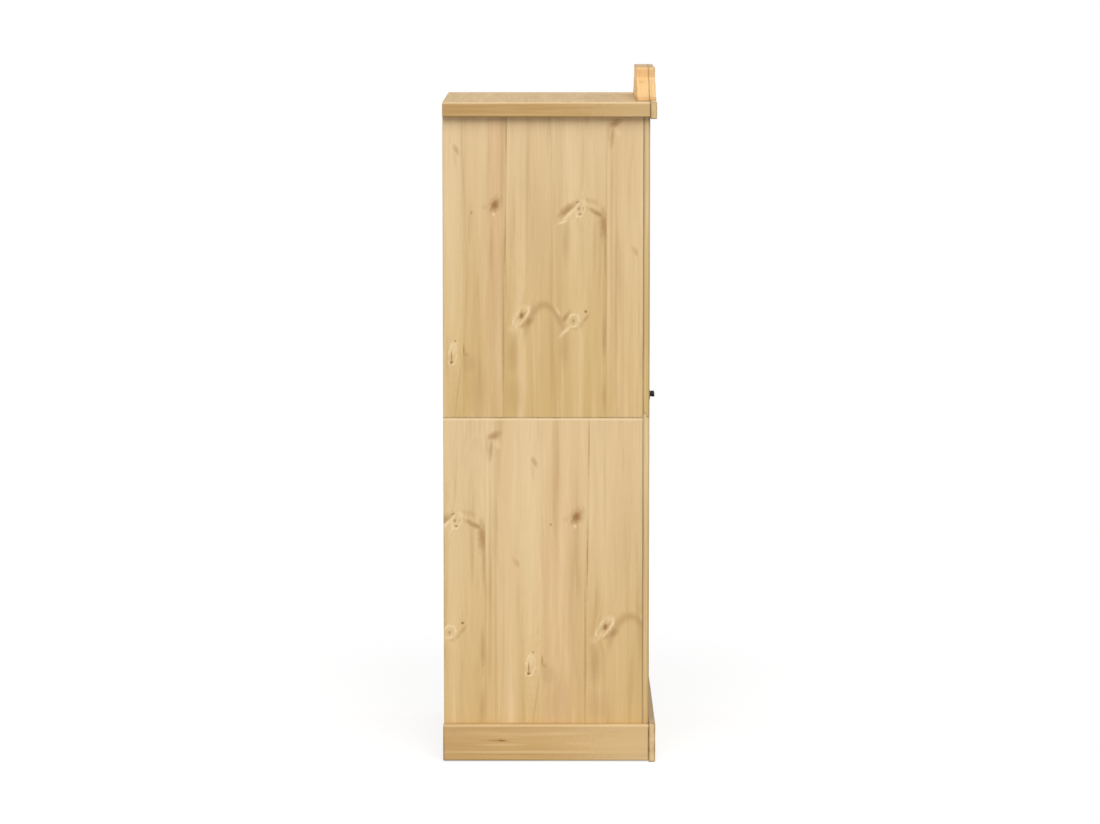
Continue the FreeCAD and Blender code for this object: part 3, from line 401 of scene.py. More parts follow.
# Figures drawn on chosen boards, in millimetres over from the back edge and down from the top. A figure has
# the joints between its planks (over at the top, drift per distance down, strength), arches (crown over,
# crown down, drop per metre squared, half span, thickness, strength) and one entry for each plank, with its
# middle line and how rosy it is. A dark, pale or core spot is over, down, half width, half height, lean in
# degrees and strength; a rim, a pale ring round a knot, has no strength. No spot crosses a joint.
SIDE_FIGURE = {
    "width": 475,
    "joints": ((48.5, 0, 0), (157, -0.012, 1), (276, 0, 0.5), (398.8, 0, 0.7)),
    "arches": ((247, 477, 26, 58, 10, 0.55), (352, 222, 12, 30, 6, 0.3)),
    "planks": (
        {
            "middle": 10, "blush": 0.1,
            "dark": ((33, 99, 5.5, 13, -24, 0.9), (28, 89, 6, 4, 0, 0.5), (30, 120, 4, 22, -6, 0.3),
                     (37, 684, 2.2, 62, 7, 0.45), (8, 620, 6, 80, 0, 0.2)),
            "pale": ((22, 280, 24, 460, 0, 0.36), (25, 582, 13, 22, 8, 0.65), (22, 88, 6, 10, 40, 0.55)),
            "core": ((30.6, 565, 2.2, 2.6, 0, 0.85), (20.7, 605, 1.3, 16, 0, 0.9),
                     (20.7, 617.6, 4.5, 3.3, 0, 0.95)),
            "rim": ((24, 598, 10, 26, 8),),
        },
        {
            "middle": 120, "blush": 0.65,
            "dark": ((127.5, 232, 14, 22, 24, 0.75), (106, 238, 10, 8, 0, 0.25),
                     (50.5, 587, 2.8, 14, 0, 0.9), (56, 598, 7.5, 5.5, 20, 0.6),
                     (66, 622, 22, 26, -35, 0.3), (70, 252, 3, 3.5, 0, 0.8), (153, 320, 3.5, 75, 1, 0.95),
                     (155.5, 75, 2.5, 60, 0, 0.8), (147, 560, 3, 180, 0, 0.75),
                     (122, 480, 20, 350, 0, 0.12), (118, 360, 7, 80, 0, 0.25), (85, 690, 30, 70, 0, 0.25)),
            "pale": ((124, 256, 3.5, 5.5, 0, 0.75), (100, 60, 14, 100, 0, 0.18)),
            "core": ((126.5, 234, 8.5, 13.5, 24, 0.66),),
            "rim": (),
        },
        {
            "middle": 235, "blush": 0.3,
            "dark": ((209.5, 517, 9, 18, 30, 0.95), (191.5, 504, 8, 18, 34, 0.55),
                     (196, 526, 11, 8, -20, 0.55), (213, 494, 5, 9, 20, 0.45), (170, 597, 14, 50, 2, 0.4),
                     (172, 700, 20, 45, 0, 0.32), (238, 300, 30, 130, 0, 0.14),
                     (190, 200, 4, 160, 0, 0.16), (266, 560, 8, 240, 0, 0.2)),
            "pale": ((188, 200, 16, 240, 0, 0.16), (181, 520, 4, 18, 36, 0.45),
                     (201, 486, 4, 12, 36, 0.45), (166, 536, 10, 10, 0, 0.3),
                     (279, 491, 4.2, 17, -28, 0.5)),
            "core": ((191.5, 503, 5, 8.5, 24, 0.75),),
            "rim": ((191, 503, 11.5, 27, 34),),
        },
        {
            "middle": 340, "blush": 0.12,
            "dark": ((305, 245, 28, 11.5, -38, 1), (377.5, 254.5, 27, 6, 31, 0.95),
                     (392.5, 285, 10, 40, -4, 0.95), (396, 340, 4.5, 70, 0, 0.6),
                     (299, 320, 11, 55, 2, 0.38), (370, 330, 4, 75, 1, 0.28),
                     (298.5, 508, 5.5, 20, 35, 0.85), (347, 512, 4, 15, 38, 0.6),
                     (324, 534, 8, 6, 0, 0.35), (318.5, 516, 7.5, 9, 24, 0.25),
                     (338, 526, 4.5, 10, 38, 0.45), (295.5, 587, 14, 45, 2, 0.4),
                     (393, 560, 5.5, 48, 0, 0.6), (393, 700, 5.5, 40, 0, 0.4),
                     (285, 400, 10, 400, 0, 0.16)),
            "pale": ((311, 252, 5.2, 29, 45, 0.95), (292.5, 274.5, 13, 4.2, -22, 0.85),
                     (324.5, 265.5, 3.5, 20, 30, 0.4), (279, 491, 4.2, 17, -28, 0.5),
                     (344, 226, 6, 10, -20, 0.7), (298.5, 540.5, 4.5, 21, 45, 0.8),
                     (325, 450, 20, 420, 0, 0.2), (335, 330, 20, 60, 0, 0.16)),
            "core": ((327, 226, 4.5, 2.6, -30, 0.7), (331.6, 242, 3.2, 5.2, 10, 0.6),
                     (334, 255.5, 5, 3.4, 0, 0.6), (342.5, 241, 1.8, 5, 0, 0.45),
                     (318.5, 516, 2.8, 5, 0, 0.6), (347.7, 493, 3.8, 3.8, 0, 0.85)),
            "rim": ((318.5, 515, 12.5, 15, 24), (334, 243, 10, 18, 18)),
        },
        {
            "middle": 450, "blush": 0.4,
            "dark": ((418.5, 35, 16.5, 8.5, -28, 0.9), (411.5, 70, 4.8, 26, 4, 0.65),
                     (403, 60, 3, 30, 0, 0.4), (469, 346, 6, 14, -35, 0.55), (422, 500, 2.2, 300, 0, 0.35),
                     (439.5, 560, 1.6, 220, 0, 0.28), (410, 380, 1.8, 260, 0, 0.3)),
            "pale": ((427, 57, 7, 12, -20, 0.5), (455, 480, 30, 480, 0, 0.22),
                     (404, 300, 2.2, 300, 0, 0.3), (430, 600, 3, 200, 0, 0.25)),
            "core": (),
            "rim": (),
        },
    ),
}
PLINTH_FIGURE = {
    "width": 1000,
    "joints": (),
    "arches": (),
    "planks": (
        {
            "middle": 250, "blush": 0.2,
            "dark": ((0, 50, 140, 90, 0, 0.3), (250, 10, 400, 7, 0, 0.35), (138, 39.5, 28, 4, 2, 0.8),
                     (110, 38.5, 30, 1.6, -3, 0.5), (300, 74.5, 450, 2, 0, 0.6),
                     (120, 12, 220, 10, 1, 0.25), (420, 80, 220, 4.5, 0, 0.4), (360, 60, 200, 1.2, 0, 0.3),
                     (400, 83, 160, 2, 0, 0.3)),
            "pale": ((500, 50, 200, 90, 0, 0.3), (250, 68, 320, 2.8, 0, 0.35), (320, 22, 110, 3, 0, 0.3),
                     (140, 50, 60, 3, 0, 0.3)),
            "core": ((143, 39.3, 11, 2.2, 4, 0.95), (122, 39, 12, 0.9, 2, 0.5)),
            "rim": (),
        },
    ),
}
CORNICE_FIGURE = {
    "width": 1000,
    "joints": (),
    "arches": (),
    "planks": (
        {
            "middle": 250, "blush": 0.3,
            "dark": ((0, 18, 170, 60, 0, 0.35), (180, 16.5, 260, 3.2, 0, 0.4), (380, 12, 120, 2, 1, 0.35),
                     (240, 26, 130, 1.6, 0, 0.25)),
            "pale": ((500, 18, 160, 60, 0, 0.28), (150, 28.5, 200, 2.5, 0, 0.2), (340, 7, 90, 2, 0, 0.2)),
            "core": (),
            "rim": (),
        },
    ),
}


def drawn_figure(name, figure):
    """Knots, arches, shades and plank joints at the places that a figure gives."""
    tree, wires, given, results = new_group(
        name, {"Over": 0.0, "Down": 0.0},
        ("Bend", "Core", "Halo", "Shade", "Blush", "Joint", "Plank", "Middle"))
    over = wires.math("WRAP", given["Over"], figure["width"] * MM, 0.0)
    down = given["Down"]
    place = wires.vector(over, down)
    ragged = wires.noise(wires.stretch(place, RAGGED_SPOTS), detail=2.0)
    ragged = wires.math("MULTIPLY_ADD", ragged, 0.8, -0.4)
    patchy = wires.rise(wires.noise(wires.stretch(place, PATCHY_RIMS, (3, 8, 0))), 0.40, 0.60, 0.35, 0.95)

    # Each oval's place carries the last oval's result as an idle third part, which a vast scale takes out.
    # The renderer then works out one oval after the other, and doesn't run out of room for all at once.
    last = [place]
    vast = 1000000

    def distance(over_middle, down_middle, half_width, half_height, lean):
        oval = wires.add("ShaderNodeMapping", vector_type="TEXTURE")
        wires.feed(oval.inputs["Vector"], last[0])
        oval.inputs["Location"].default_value = (over_middle * MM, down_middle * MM, 0)
        oval.inputs["Rotation"].default_value = (0, 0, math.radians(lean))
        oval.inputs["Scale"].default_value = (half_width * MM, half_height * MM, vast)
        far = wires.add("ShaderNodeVectorMath", operation="LENGTH")
        wires.feed(far.inputs[0], oval.outputs[0])
        return wires.plus(far.outputs["Value"], ragged)

    def spots(rows, low, high):
        total = 0.0
        for *oval, strength in rows:
            total = wires.math("MAXIMUM", total, wires.rise(distance(*oval), low, high, strength, 0.0))
            last[0] = wires.vector(over, down, total)
        return total

    past, joint = [1.0], 0.0
    for start, drift, strength in figure["joints"]:
        edge = wires.math("MULTIPLY_ADD", down, drift, start * MM)
        past.append(wires.math("GREATER_THAN", over, edge))
        line = wires.bell(wires.minus(over, edge), 0.0, JOINT_WIDTH)
        joint = wires.math("MULTIPLY_ADD", line, strength, joint)
    if figure["joints"]:
        broken = wires.rise(wires.noise(wires.stretch(place, BROKEN_JOINTS, (2, 5, 0))), 0.35, 0.60, 0.2, 1.0)
        joint = wires.times(joint, broken)
    past.append(0.0)
    totals = {"Core": 0.0, "Halo": 0.0, "Shade": 0.0, "Blush": 0.0, "Middle": 0.0, "Bend": 0.0}
    for plank, before, after in zip(figure["planks"], past, past[1:]):
        here = wires.minus(before, after)
        halo = spots(plank["pale"], 0.2, 1.5)
        bend = 0.0
        for rim in plank["rim"]:
            away = distance(*rim)
            ring = wires.times(wires.bell(away, 1.0, 0.26), patchy)
            halo = wires.math("MAXIMUM", halo, ring)
            bend = wires.plus(bend, wires.bell(away, 0.0, 2.2))
            last[0] = wires.vector(over, down, bend)
        values = {"Core": spots(plank["core"], 0.2, 1.4), "Halo": halo,
                  "Shade": spots(plank["dark"], 0.1, 1.6), "Blush": plank["blush"],
                  "Middle": plank["middle"] * MM, "Bend": wires.times(bend, RIM_BEND)}
        for result, source in values.items():
            totals[result] = wires.math("MULTIPLY_ADD", source, here, totals[result])
    for crown, level, drop, half_span, thick, strength in figure["arches"]:
        apart = wires.minus(over, crown * MM)
        curve = wires.times(wires.times(apart, apart), drop)
        off = wires.minus(down, wires.plus(curve, level * MM))
        slope = wires.times(apart, drop * 2)
        off = wires.math("DIVIDE", off, wires.math("SQRT", wires.math("MULTIPLY_ADD", slope, slope, 1.0)))
        band = wires.bell(wires.plus(off, wires.times(ragged, ARCH_WOBBLE)), 0.0, thick * MM)
        near = wires.rise(wires.math("ABSOLUTE", apart), half_span * 0.7 * MM, half_span * MM, strength, 0.0)
        totals["Shade"] = wires.math("MAXIMUM", totals["Shade"], wires.times(band, near))
    for result, source in totals.items():
        wires.feed(results[result], source)
    wires.feed(results["Joint"], joint)
    number = 0.0
    for gate in past[1:-1]:
        number = wires.plus(number, gate)
    wires.feed(results["Plank"], number)
    return tree


def pine_surface(pine):
    """Colour, roughness and relief of waxed pine from the grain's parts."""
    inputs = {"Place": None, "Seed": 0.0, "Plank": 1.0, "Foot": 0.5, "Depth": 0.0, "Gold": 0.0,
              "Rings": 1.0, "Streaks": 1.0, "Edge": 0.0, "Highlight": 0.0, "Dust": 0.0, "Bend": 0.0, "Core": 0.0,
              "Halo": 0.0, "Shade": 0.0, "Blush": 0.35, "Joint": 0.0}
    tree, wires, given, results = new_group("pine_surface", inputs, ("Color", "Roughness", "Relief"))
    grain = wires.group(growth_rings(pine), place=given["Place"], seed=given["Seed"],
                        plank=given["Plank"], bend=given["Bend"])
    ground = wires.mix(given["Foot"], pine.head, pine.foot)
    ground = wires.mix(given["Gold"], ground, pine.gold)
    rosy = wires.times(wires.rise(grain["Blush"], 0.35, 0.65), given["Blush"])
    ground = wires.mix(rosy, ground, pine.blush)
    ground = wires.mix(given["Depth"], ground, pine.deep)
    strength = wires.times(given["Streaks"], pine.streak_depth)
    lighter = wires.rise(grain["Streak"], 0.50, 0.72, 0.0, strength)
    darker = wires.rise(grain["Streak"], 0.28, 0.50, strength, 0.0)
    ground = wires.mix(lighter, ground, pine.halo)
    ground = wires.mix(darker, ground, pine.late)
    late = wires.times(grain["Late"], given["Rings"])
    ground = wires.mix(wires.times(late, pine.ring_depth), ground, pine.late)
    ground = wires.mix(wires.times(given["Shade"], pine.shade_depth), ground, pine.shade)
    ground = wires.mix(given["Halo"], ground, pine.halo)
    ground = wires.mix(given["Core"], ground, pine.core)
    joint = wires.math("MULTIPLY", given["Joint"], pine.joint_depth, clamp=True)
    ground = wires.mix(joint, ground, pine.seam)
    fibre = wires.math("MULTIPLY_ADD", grain["Fibre"], 0.10, 0.95)
    ground = wires.mix(1.0, ground, wires.vector(fibre, fibre, fibre), kind="MULTIPLY")
    # Painted shade: ambient occlusion darkens the creases and seams between boards towards the seam colour,
    # where shade falls
    crease = wires.add("ShaderNodeAmbientOcclusion", samples=6)
    crease.inputs["Distance"].default_value = pine.crease_shade_reach
    seam = wires.rise(crease.outputs["AO"], 0.15, 0.85, pine.crease_shade_depth, 0.0)
    # Darker edges: greyer wax, and painted shade on edges that turn from the light
    worn = wires.times(given["Edge"], wires.rise(grain["Streak"], 0.30, 0.65, 1.0, 0.55))
    ground = wires.mix(worn, ground, pine.worn)
    # Painted highlight: a paler line under the top edge, in the pale grain colour
    ground = wires.mix(given["Highlight"], ground, pine.halo)
    # Painted shade on the faces that point up near a board's top
    ground = wires.mix(given["Dust"], ground, pine.dust)
    wires.feed(results["Color"], wires.mix(seam, ground, pine.seam))
    rough = wires.math("MULTIPLY_ADD", grain["Fibre"], 0.16, pine.roughness - 0.08)
    wires.feed(results["Roughness"], wires.minus(rough, wires.times(given["Core"], 0.1)))
    relief = wires.plus(wires.times(late, 0.5), grain["Fibre"])
    relief = wires.plus(relief, wires.times(given["Core"], 0.6))
    wires.feed(results["Relief"], wires.minus(relief, wires.times(given["Joint"], 0.8)))
    return tree


def shared_group(name, make):
    """The node group of this name, made when it is first asked for."""
    found = bpy.data.node_groups.get(name)
    return found if found else make()


def shader_of(name):
    """A new material; give it, its wiring and its main shader."""
    material = bpy.data.materials.new(name)
    wires = empty_tree(material)
    shader = wires.add("ShaderNodeBsdfPrincipled")
    output = wires.add("ShaderNodeOutputMaterial")
    wires.feed(output.inputs["Surface"], shader.outputs[0])
    return material, wires, shader


def dress(nodes, material):
    """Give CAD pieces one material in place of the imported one."""
    for name in nodes:
        mesh = NODES[name].data
        mesh.materials.clear()
        mesh.materials.append(material)


def bump(wires, shader, height, strength, reach, arris=0.0):
    """Give a surface its relief, and softened edges where an arris is given."""
    relief = wires.add("ShaderNodeBump")
    relief.inputs["Strength"].default_value = strength
    relief.inputs["Distance"].default_value = reach
    wires.feed(relief.inputs["Height"], height)
    if arris:
        soft = wires.add("ShaderNodeBevel", samples=6)
        soft.inputs["Radius"].default_value = arris
        wires.feed(relief.inputs["Normal"], soft.outputs[0])
    wires.feed(shader.inputs["Normal"], relief.outputs[0])


SIDEWAYS = 0.7        # a face that points less than this along a board's thin axis is one of its edges
LEVEL = 0.5           # a face that points more than this upward gets the painted shade of top faces

# How a figure is placed: over and its stretch, down and its stretch, and the width to mirror it in, if any
AS_DRAWN = (0.0, 1.0, 0.0, 1.0, 0.0)


def pine_board(node, along, seed, plank=1.0, knots=0.35, depth=0.0, gold=0.0, rings=1.0, streaks=1.0,
               edge=0.45, spread=1.0, sawn=False, highlight=None, dust=0.0, foot=None, blush=0.35, figure=None):
    """Finish one board. Along is its grain's axis; edge and spread are how its edges darken.

    Sawn darkens the edges of a curved outline too. A painted highlight, a paler line under the top edge where
    the rounded edge would catch the light, is given as its strength and how far down it is. Painted shade, of
    the given strength, darkens the faces that point up near the top. Foot is the heights of the deepest and
    the palest wood.
    A figure is its name, its drawing and how it is placed.
    """
    settings = bpy.context.scene.cabinet
    pine = settings.pine
    material, wires, shader = shader_of("pine_" + node)
    low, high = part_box(node)
    middle = (low + high) / 2
    half = (high - low) / 2
    wide, thin = (AXES[axis] for axis in OTHER_AXES[along])
    if half[thin] > half[wide]:
        wide, thin = thin, wide
    axes = (wide, thin, AXES[along])
    parts = wires.parts(wires.add("ShaderNodeTexCoord").outputs["Object"])
    place = wires.vector(*(wires.minus(parts[axis], middle[axis]) for axis in axes))
    away = wires.group(shared_group("edge_distance", edge_distance), place=place,
                       half=tuple(half[axis] for axis in axes))[0]
    seed = float(seed + settings.first_board)
    reach = pine.edge_reach * spread
    # The edge entry darkens the board's edges: greyer wax, and painted shade where they turn from the light
    sources = {"place": place, "seed": seed, "plank": plank, "depth": depth, "gold": gold, "rings": rings,
               "streaks": streaks, "blush": blush, "foot": 0.5,
               "edge": wires.rise(away, 0.0, reach, edge, 0.0)}
    facing = wires.parts(wires.add("ShaderNodeNewGeometry").outputs["Normal"])
    if sawn:
        off = wires.math("ABSOLUTE", wires.minus(parts[thin], middle[thin]))
        close = wires.rise(off, half[thin] - reach, half[thin], 0.0, edge)
        turned = wires.math("LESS_THAN", wires.math("ABSOLUTE", facing[thin]), SIDEWAYS)
        sources["edge"] = wires.math("MAXIMUM", sources["edge"], wires.times(close, turned))
    fall = wires.minus(high.z, parts["Z"])
    # Painted highlight: a paler line under the top edge, where the rounded edge would catch the light
    if highlight:
        strength, drop = highlight
        sources["highlight"] = wires.times(wires.bell(fall, drop, pine.arris), strength)
        if drop < reach:
            # The painted highlight takes the place of the darker edge, greyer wax and painted shade, along
            # the top.
            sources["edge"] = wires.times(sources["edge"], wires.math("GREATER_THAN", fall, reach))
    # Painted shade: greys the faces that point up near the top of the board
    if dust:
        level = wires.rise(facing["Z"], LEVEL, 1.0, 0.0, dust)
        sources["dust"] = wires.times(level, wires.math("LESS_THAN", fall, pine.shading_drop))
    if foot:
        sources["foot"] = wires.rise(parts["Z"], foot[1], foot[0])
    if figure:
        name, drawing, start, stretch, drop_start, drop_stretch, mirror = figure
        over = wires.math("DIVIDE", wires.minus(high.y - start, parts["Y"]), stretch)
        down = wires.math("DIVIDE", wires.minus(high.z - drop_start, parts["Z"]), drop_stretch)
        if mirror:
            over = wires.minus(mirror, over)
        marks = wires.group(shared_group(name, lambda: drawn_figure(name, drawing)), over=over, down=down)
        for mark in ("Bend", "Core", "Halo", "Shade", "Blush", "Joint"):
            sources[mark.lower()] = marks[mark]
        if drawing["joints"]:
            sources["seed"] = wires.math("MULTIPLY_ADD", marks["Plank"], PLANK_STEP, seed)
            over = wires.math("WRAP", over, drawing["width"] * MM, 0.0)
            through = wires.minus(parts[thin], middle[thin])
            sources["place"] = wires.vector(wires.minus(over, marks["Middle"]), through, down)
    else:
        marks = wires.group(shared_group("stray_knots", lambda: stray_knots(pine)), place=place, seed=seed,
                            amount=knots)
        for mark in ("Bend", "Core", "Halo", "Shade"):
            sources[mark.lower()] = marks[mark]
    finish = wires.group(shared_group("pine_surface", lambda: pine_surface(pine)), **sources)
    wires.feed(shader.inputs["Base Color"], finish["Color"])
    wires.feed(shader.inputs["Roughness"], finish["Roughness"])
    shader.inputs["Specular IOR Level"].default_value = pine.shine
    bump(wires, shader, finish["Relief"], strength=0.25, reach=pine.relief, arris=pine.arris)
    dress([node], material)


# Operators, one for each piece or group of like pieces

class CABINET_OT_side_panels(bpy.types.Operator):
    """Finish the four side boards, glued up from planks and full of knots"""

    bl_idname = "cabinet.side_panels"
    bl_label = "Side panels"

    # How each board's figure is placed
    FIGURES = {
        "side_panel_upper_left": AS_DRAWN,
        "side_panel_lower_left": (0.186, 1.10, 0.009, 1.013, 0.0),
        "side_panel_upper_right": (0.120, 1.05, -0.030, 1.0, 0.475),
        "side_panel_lower_right": (0.0, 1.0, 0.010, 1.0, 0.475),
    }

    def execute(self, context):
        for seed, (node, figure) in enumerate(self.FIGURES.items(), start=1):
            low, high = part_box(node)
            # A painted highlight under the top edge of each board, where its rounded edge would catch the
            # light
            pine_board(node, "z", seed, rings=0.28, streaks=1.1, edge=0.45, highlight=(0.9, 0.005),
                       foot=(low.z, high.z), figure=("side_figure", SIDE_FIGURE, *figure))
        return {"FINISHED"}


class CABINET_OT_face_frame(bpy.types.Operator):
    """Finish the stiles at the corners and the rails above and below the doors"""

    bl_idname = "cabinet.face_frame"
    bl_label = "Face frame"

    PALE_ABOVE = 0.3      # how far above a stile its palest wood would lie

    def execute(self, context):
        for seed, node in enumerate(("stile_lower_left", "stile_upper_left", "stile_lower_right",
                                     "stile_upper_right"), start=11):
            low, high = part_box(node)
            # Wide darker edges on the stiles: greyer wax, and painted shade in the groove beside the side
            # panel and on the rounded front edge
            pine_board(node, "z", seed, knots=0.1, rings=0.6, edge=0.78, spread=2.2,
                       foot=(low.z, high.z + self.PALE_ABOVE), blush=0.5)
        for seed, node in enumerate(("top_rail", "bottom_rail"), start=16):
            pine_board(node, "x", seed, knots=0.25)
        return {"FINISHED"}


class CABINET_OT_level_boards(bpy.types.Operator):
    """Finish the top, the bottom, the shelves and the battens that carry them"""

    bl_idname = "cabinet.level_boards"
    bl_label = "Top, bottom and shelves"

    def execute(self, context):
        # Painted shade: the deeper tone darkens the whole top board, and the shading its upward face near the
        # top
        pine_board("top_board", "x", 21, plank=0.11, knots=0.5, depth=0.2, dust=0.25)
        pine_board("bottom_board", "x", 22, plank=0.12, knots=0.5)
        for seed, node in enumerate(("middle_shelf", "lower_shelf", "upper_shelf"), start=23):
            pine_board(node, "x", seed, plank=0.115, knots=0.5)
        pine_board("wall_rail", "x", 27)
        pine_board("seam_cleats", "y", 28)
        pine_board("bottom_cleats", "y", 29)
        return {"FINISHED"}


class CABINET_OT_back_panels(bpy.types.Operator):
    """Finish the two thin boards of the back"""

    bl_idname = "cabinet.back_panels"
    bl_label = "Back panels"

    def execute(self, context):
        for seed, node in enumerate(("back_panel_lower", "back_panel_upper"), start=31):
            pine_board(node, "z", seed, plank=0.19, knots=0.35, blush=0.2)
        return {"FINISHED"}


class CABINET_OT_cornice(bpy.types.Operator):
    """Finish the three boards round the top"""

    bl_idname = "cabinet.cornice"
    bl_label = "Cornice"

    def execute(self, context):
        for seed, node in enumerate(("cornice_side_left", "cornice_side_right"), start=41):
            # A painted highlight along the top edge of each side board
            pine_board(node, "y", seed, depth=0.70, rings=0.4, edge=0.6, highlight=(0.6, 0.001),
                       figure=("cornice_figure", CORNICE_FIGURE, *AS_DRAWN))
        pine_board("cornice_front", "x", 43, knots=0.15, edge=1.0, spread=1.3)
        return {"FINISHED"}


class CABINET_OT_crest(bpy.types.Operator):
    """Finish the two boards of the crest"""

    bl_idname = "cabinet.crest"
    bl_label = "Crest"

    def execute(self, context):
        # The shading paints shade on the faces of the crest that point up
        pine_board("crest_back", "x", 45, knots=0.0, gold=0.95, edge=0.75, sawn=True, dust=0.5, blush=0.1)
        pine_board("crest_front", "x", 46, knots=0.12, gold=0.9, edge=0.75, sawn=True, dust=0.5, blush=0.3)
        return {"FINISHED"}


class CABINET_OT_plinth(bpy.types.Operator):
    """Finish the three boards round the foot"""

    bl_idname = "cabinet.plinth"
    bl_label = "Plinth"

    def execute(self, context):
        # Plinth: a painted highlight under the top edges of the sides, painted shade on faces that point up,
        # and darker edges that are greyer wax and painted shade at the foot
        pine_board("plinth_side_left", "y", 51, depth=0.52, rings=0.4, streaks=0.6, edge=1.0,
                   spread=1.8, highlight=(0.55, 0.003), dust=0.15,
                   figure=("plinth_figure", PLINTH_FIGURE, *AS_DRAWN))
        pine_board("plinth_side_right", "y", 52, knots=0.2, depth=0.52, rings=0.6, edge=1.0,
                   spread=1.8, highlight=(0.55, 0.003), dust=0.15)
        pine_board("plinth_front", "x", 53, knots=0.2, edge=1.0, spread=1.7, dust=0.5)
        return {"FINISHED"}


class CABINET_OT_doors(bpy.types.Operator):
    """Finish the frames and the raised panels of both doors"""

    bl_idname = "cabinet.doors"
    bl_label = "Doors"

    def execute(self, context):
        for start, door in zip((60, 70), DOORS):
            for seed, name in enumerate(("hinge_stile", "lock_stile"), start=start):
                pine_board(door + name, "z", seed, knots=0.2)
            for seed, name in enumerate(("top_rail", "middle_rail", "bottom_rail"), start=start + 2):
                pine_board(door + name, "x", seed, knots=0.2)
            for seed, name in enumerate(("upper_panel", "lower_panel"), start=start + 5):
                low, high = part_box(door + name)
                pine_board(door + name, "z", seed, plank=0.085, knots=0.6, foot=(low.z, high.z))
        return {"FINISHED"}


def on_doors(*names):
    """The pieces with these names on both doors."""
    return [door + name for door in DOORS for name in names]


def fitting(name, nodes, base, roughness, metallic, grain, specular=0.5):
    """Finish small fittings: base colour with fine mottling, lighter in spots, and an uneven surface."""
    material, wires, shader = shader_of(name)
    spot = wires.add("ShaderNodeTexCoord").outputs["Object"]
    mottle = wires.noise(wires.stretch(spot, (grain, grain, grain)), detail=4.0, roughness=0.6)
    worn = wires.rise(mottle, 0.55, 0.75)
    lighter = tuple(min(1.0, level * 1.8 + 0.01) for level in base)
    wires.feed(shader.inputs["Base Color"], wires.mix(wires.times(worn, 0.4), base, lighter))
    wires.feed(shader.inputs["Roughness"], wires.math("MULTIPLY_ADD", mottle, 0.25, roughness - 0.12))
    shader.inputs["Metallic"].default_value = metallic
    shader.inputs["Specular IOR Level"].default_value = specular
    bump(wires, shader, mottle, strength=0.3, reach=0.0004)
    dress(nodes, material)


class CABINET_OT_knobs(bpy.types.Operator):
    """Finish the black iron knobs and rosettes"""

    bl_idname = "cabinet.knobs"
    bl_label = "Knobs"

    def execute(self, context):
        iron = context.scene.cabinet.fittings.iron
        fitting("black_iron", on_doors("rosette", "knob"), iron, roughness=0.5, metallic=0.7, grain=420)
        return {"FINISHED"}


class CABINET_OT_hinges(bpy.types.Operator):
    """Finish the hinges, their pins and the strikes"""

    bl_idname = "cabinet.hinges"
    bl_label = "Hinges"

    def execute(self, context):
        nodes = ["hinge_frame_leaves", "hinge_pins", *on_doors("hinge_leaves", "strike")]
        steel = context.scene.cabinet.fittings.hinge
        fitting("hinge_steel", nodes, steel, roughness=0.42, metallic=1.0, grain=600)
        return {"FINISHED"}


class CABINET_OT_fixings(bpy.types.Operator):
    """Finish the screws, shelf pegs and catches"""

    bl_idname = "cabinet.fixings"
    bl_label = "Screws, pegs and catches"

    def execute(self, context):
        fittings = context.scene.cabinet.fittings
        nodes = ["cleat_screws", "shelf_pegs", "hinge_frame_screws", *on_doors("hinge_screws", "knob_screw")]
        fitting("screw_steel", nodes, fittings.zinc, roughness=0.35, metallic=1.0, grain=900)
        fitting("catch_plastic", ["door_catches"], fittings.plastic, roughness=0.5, metallic=0.0, grain=1500,
                specular=0.4)
        return {"FINISHED"}


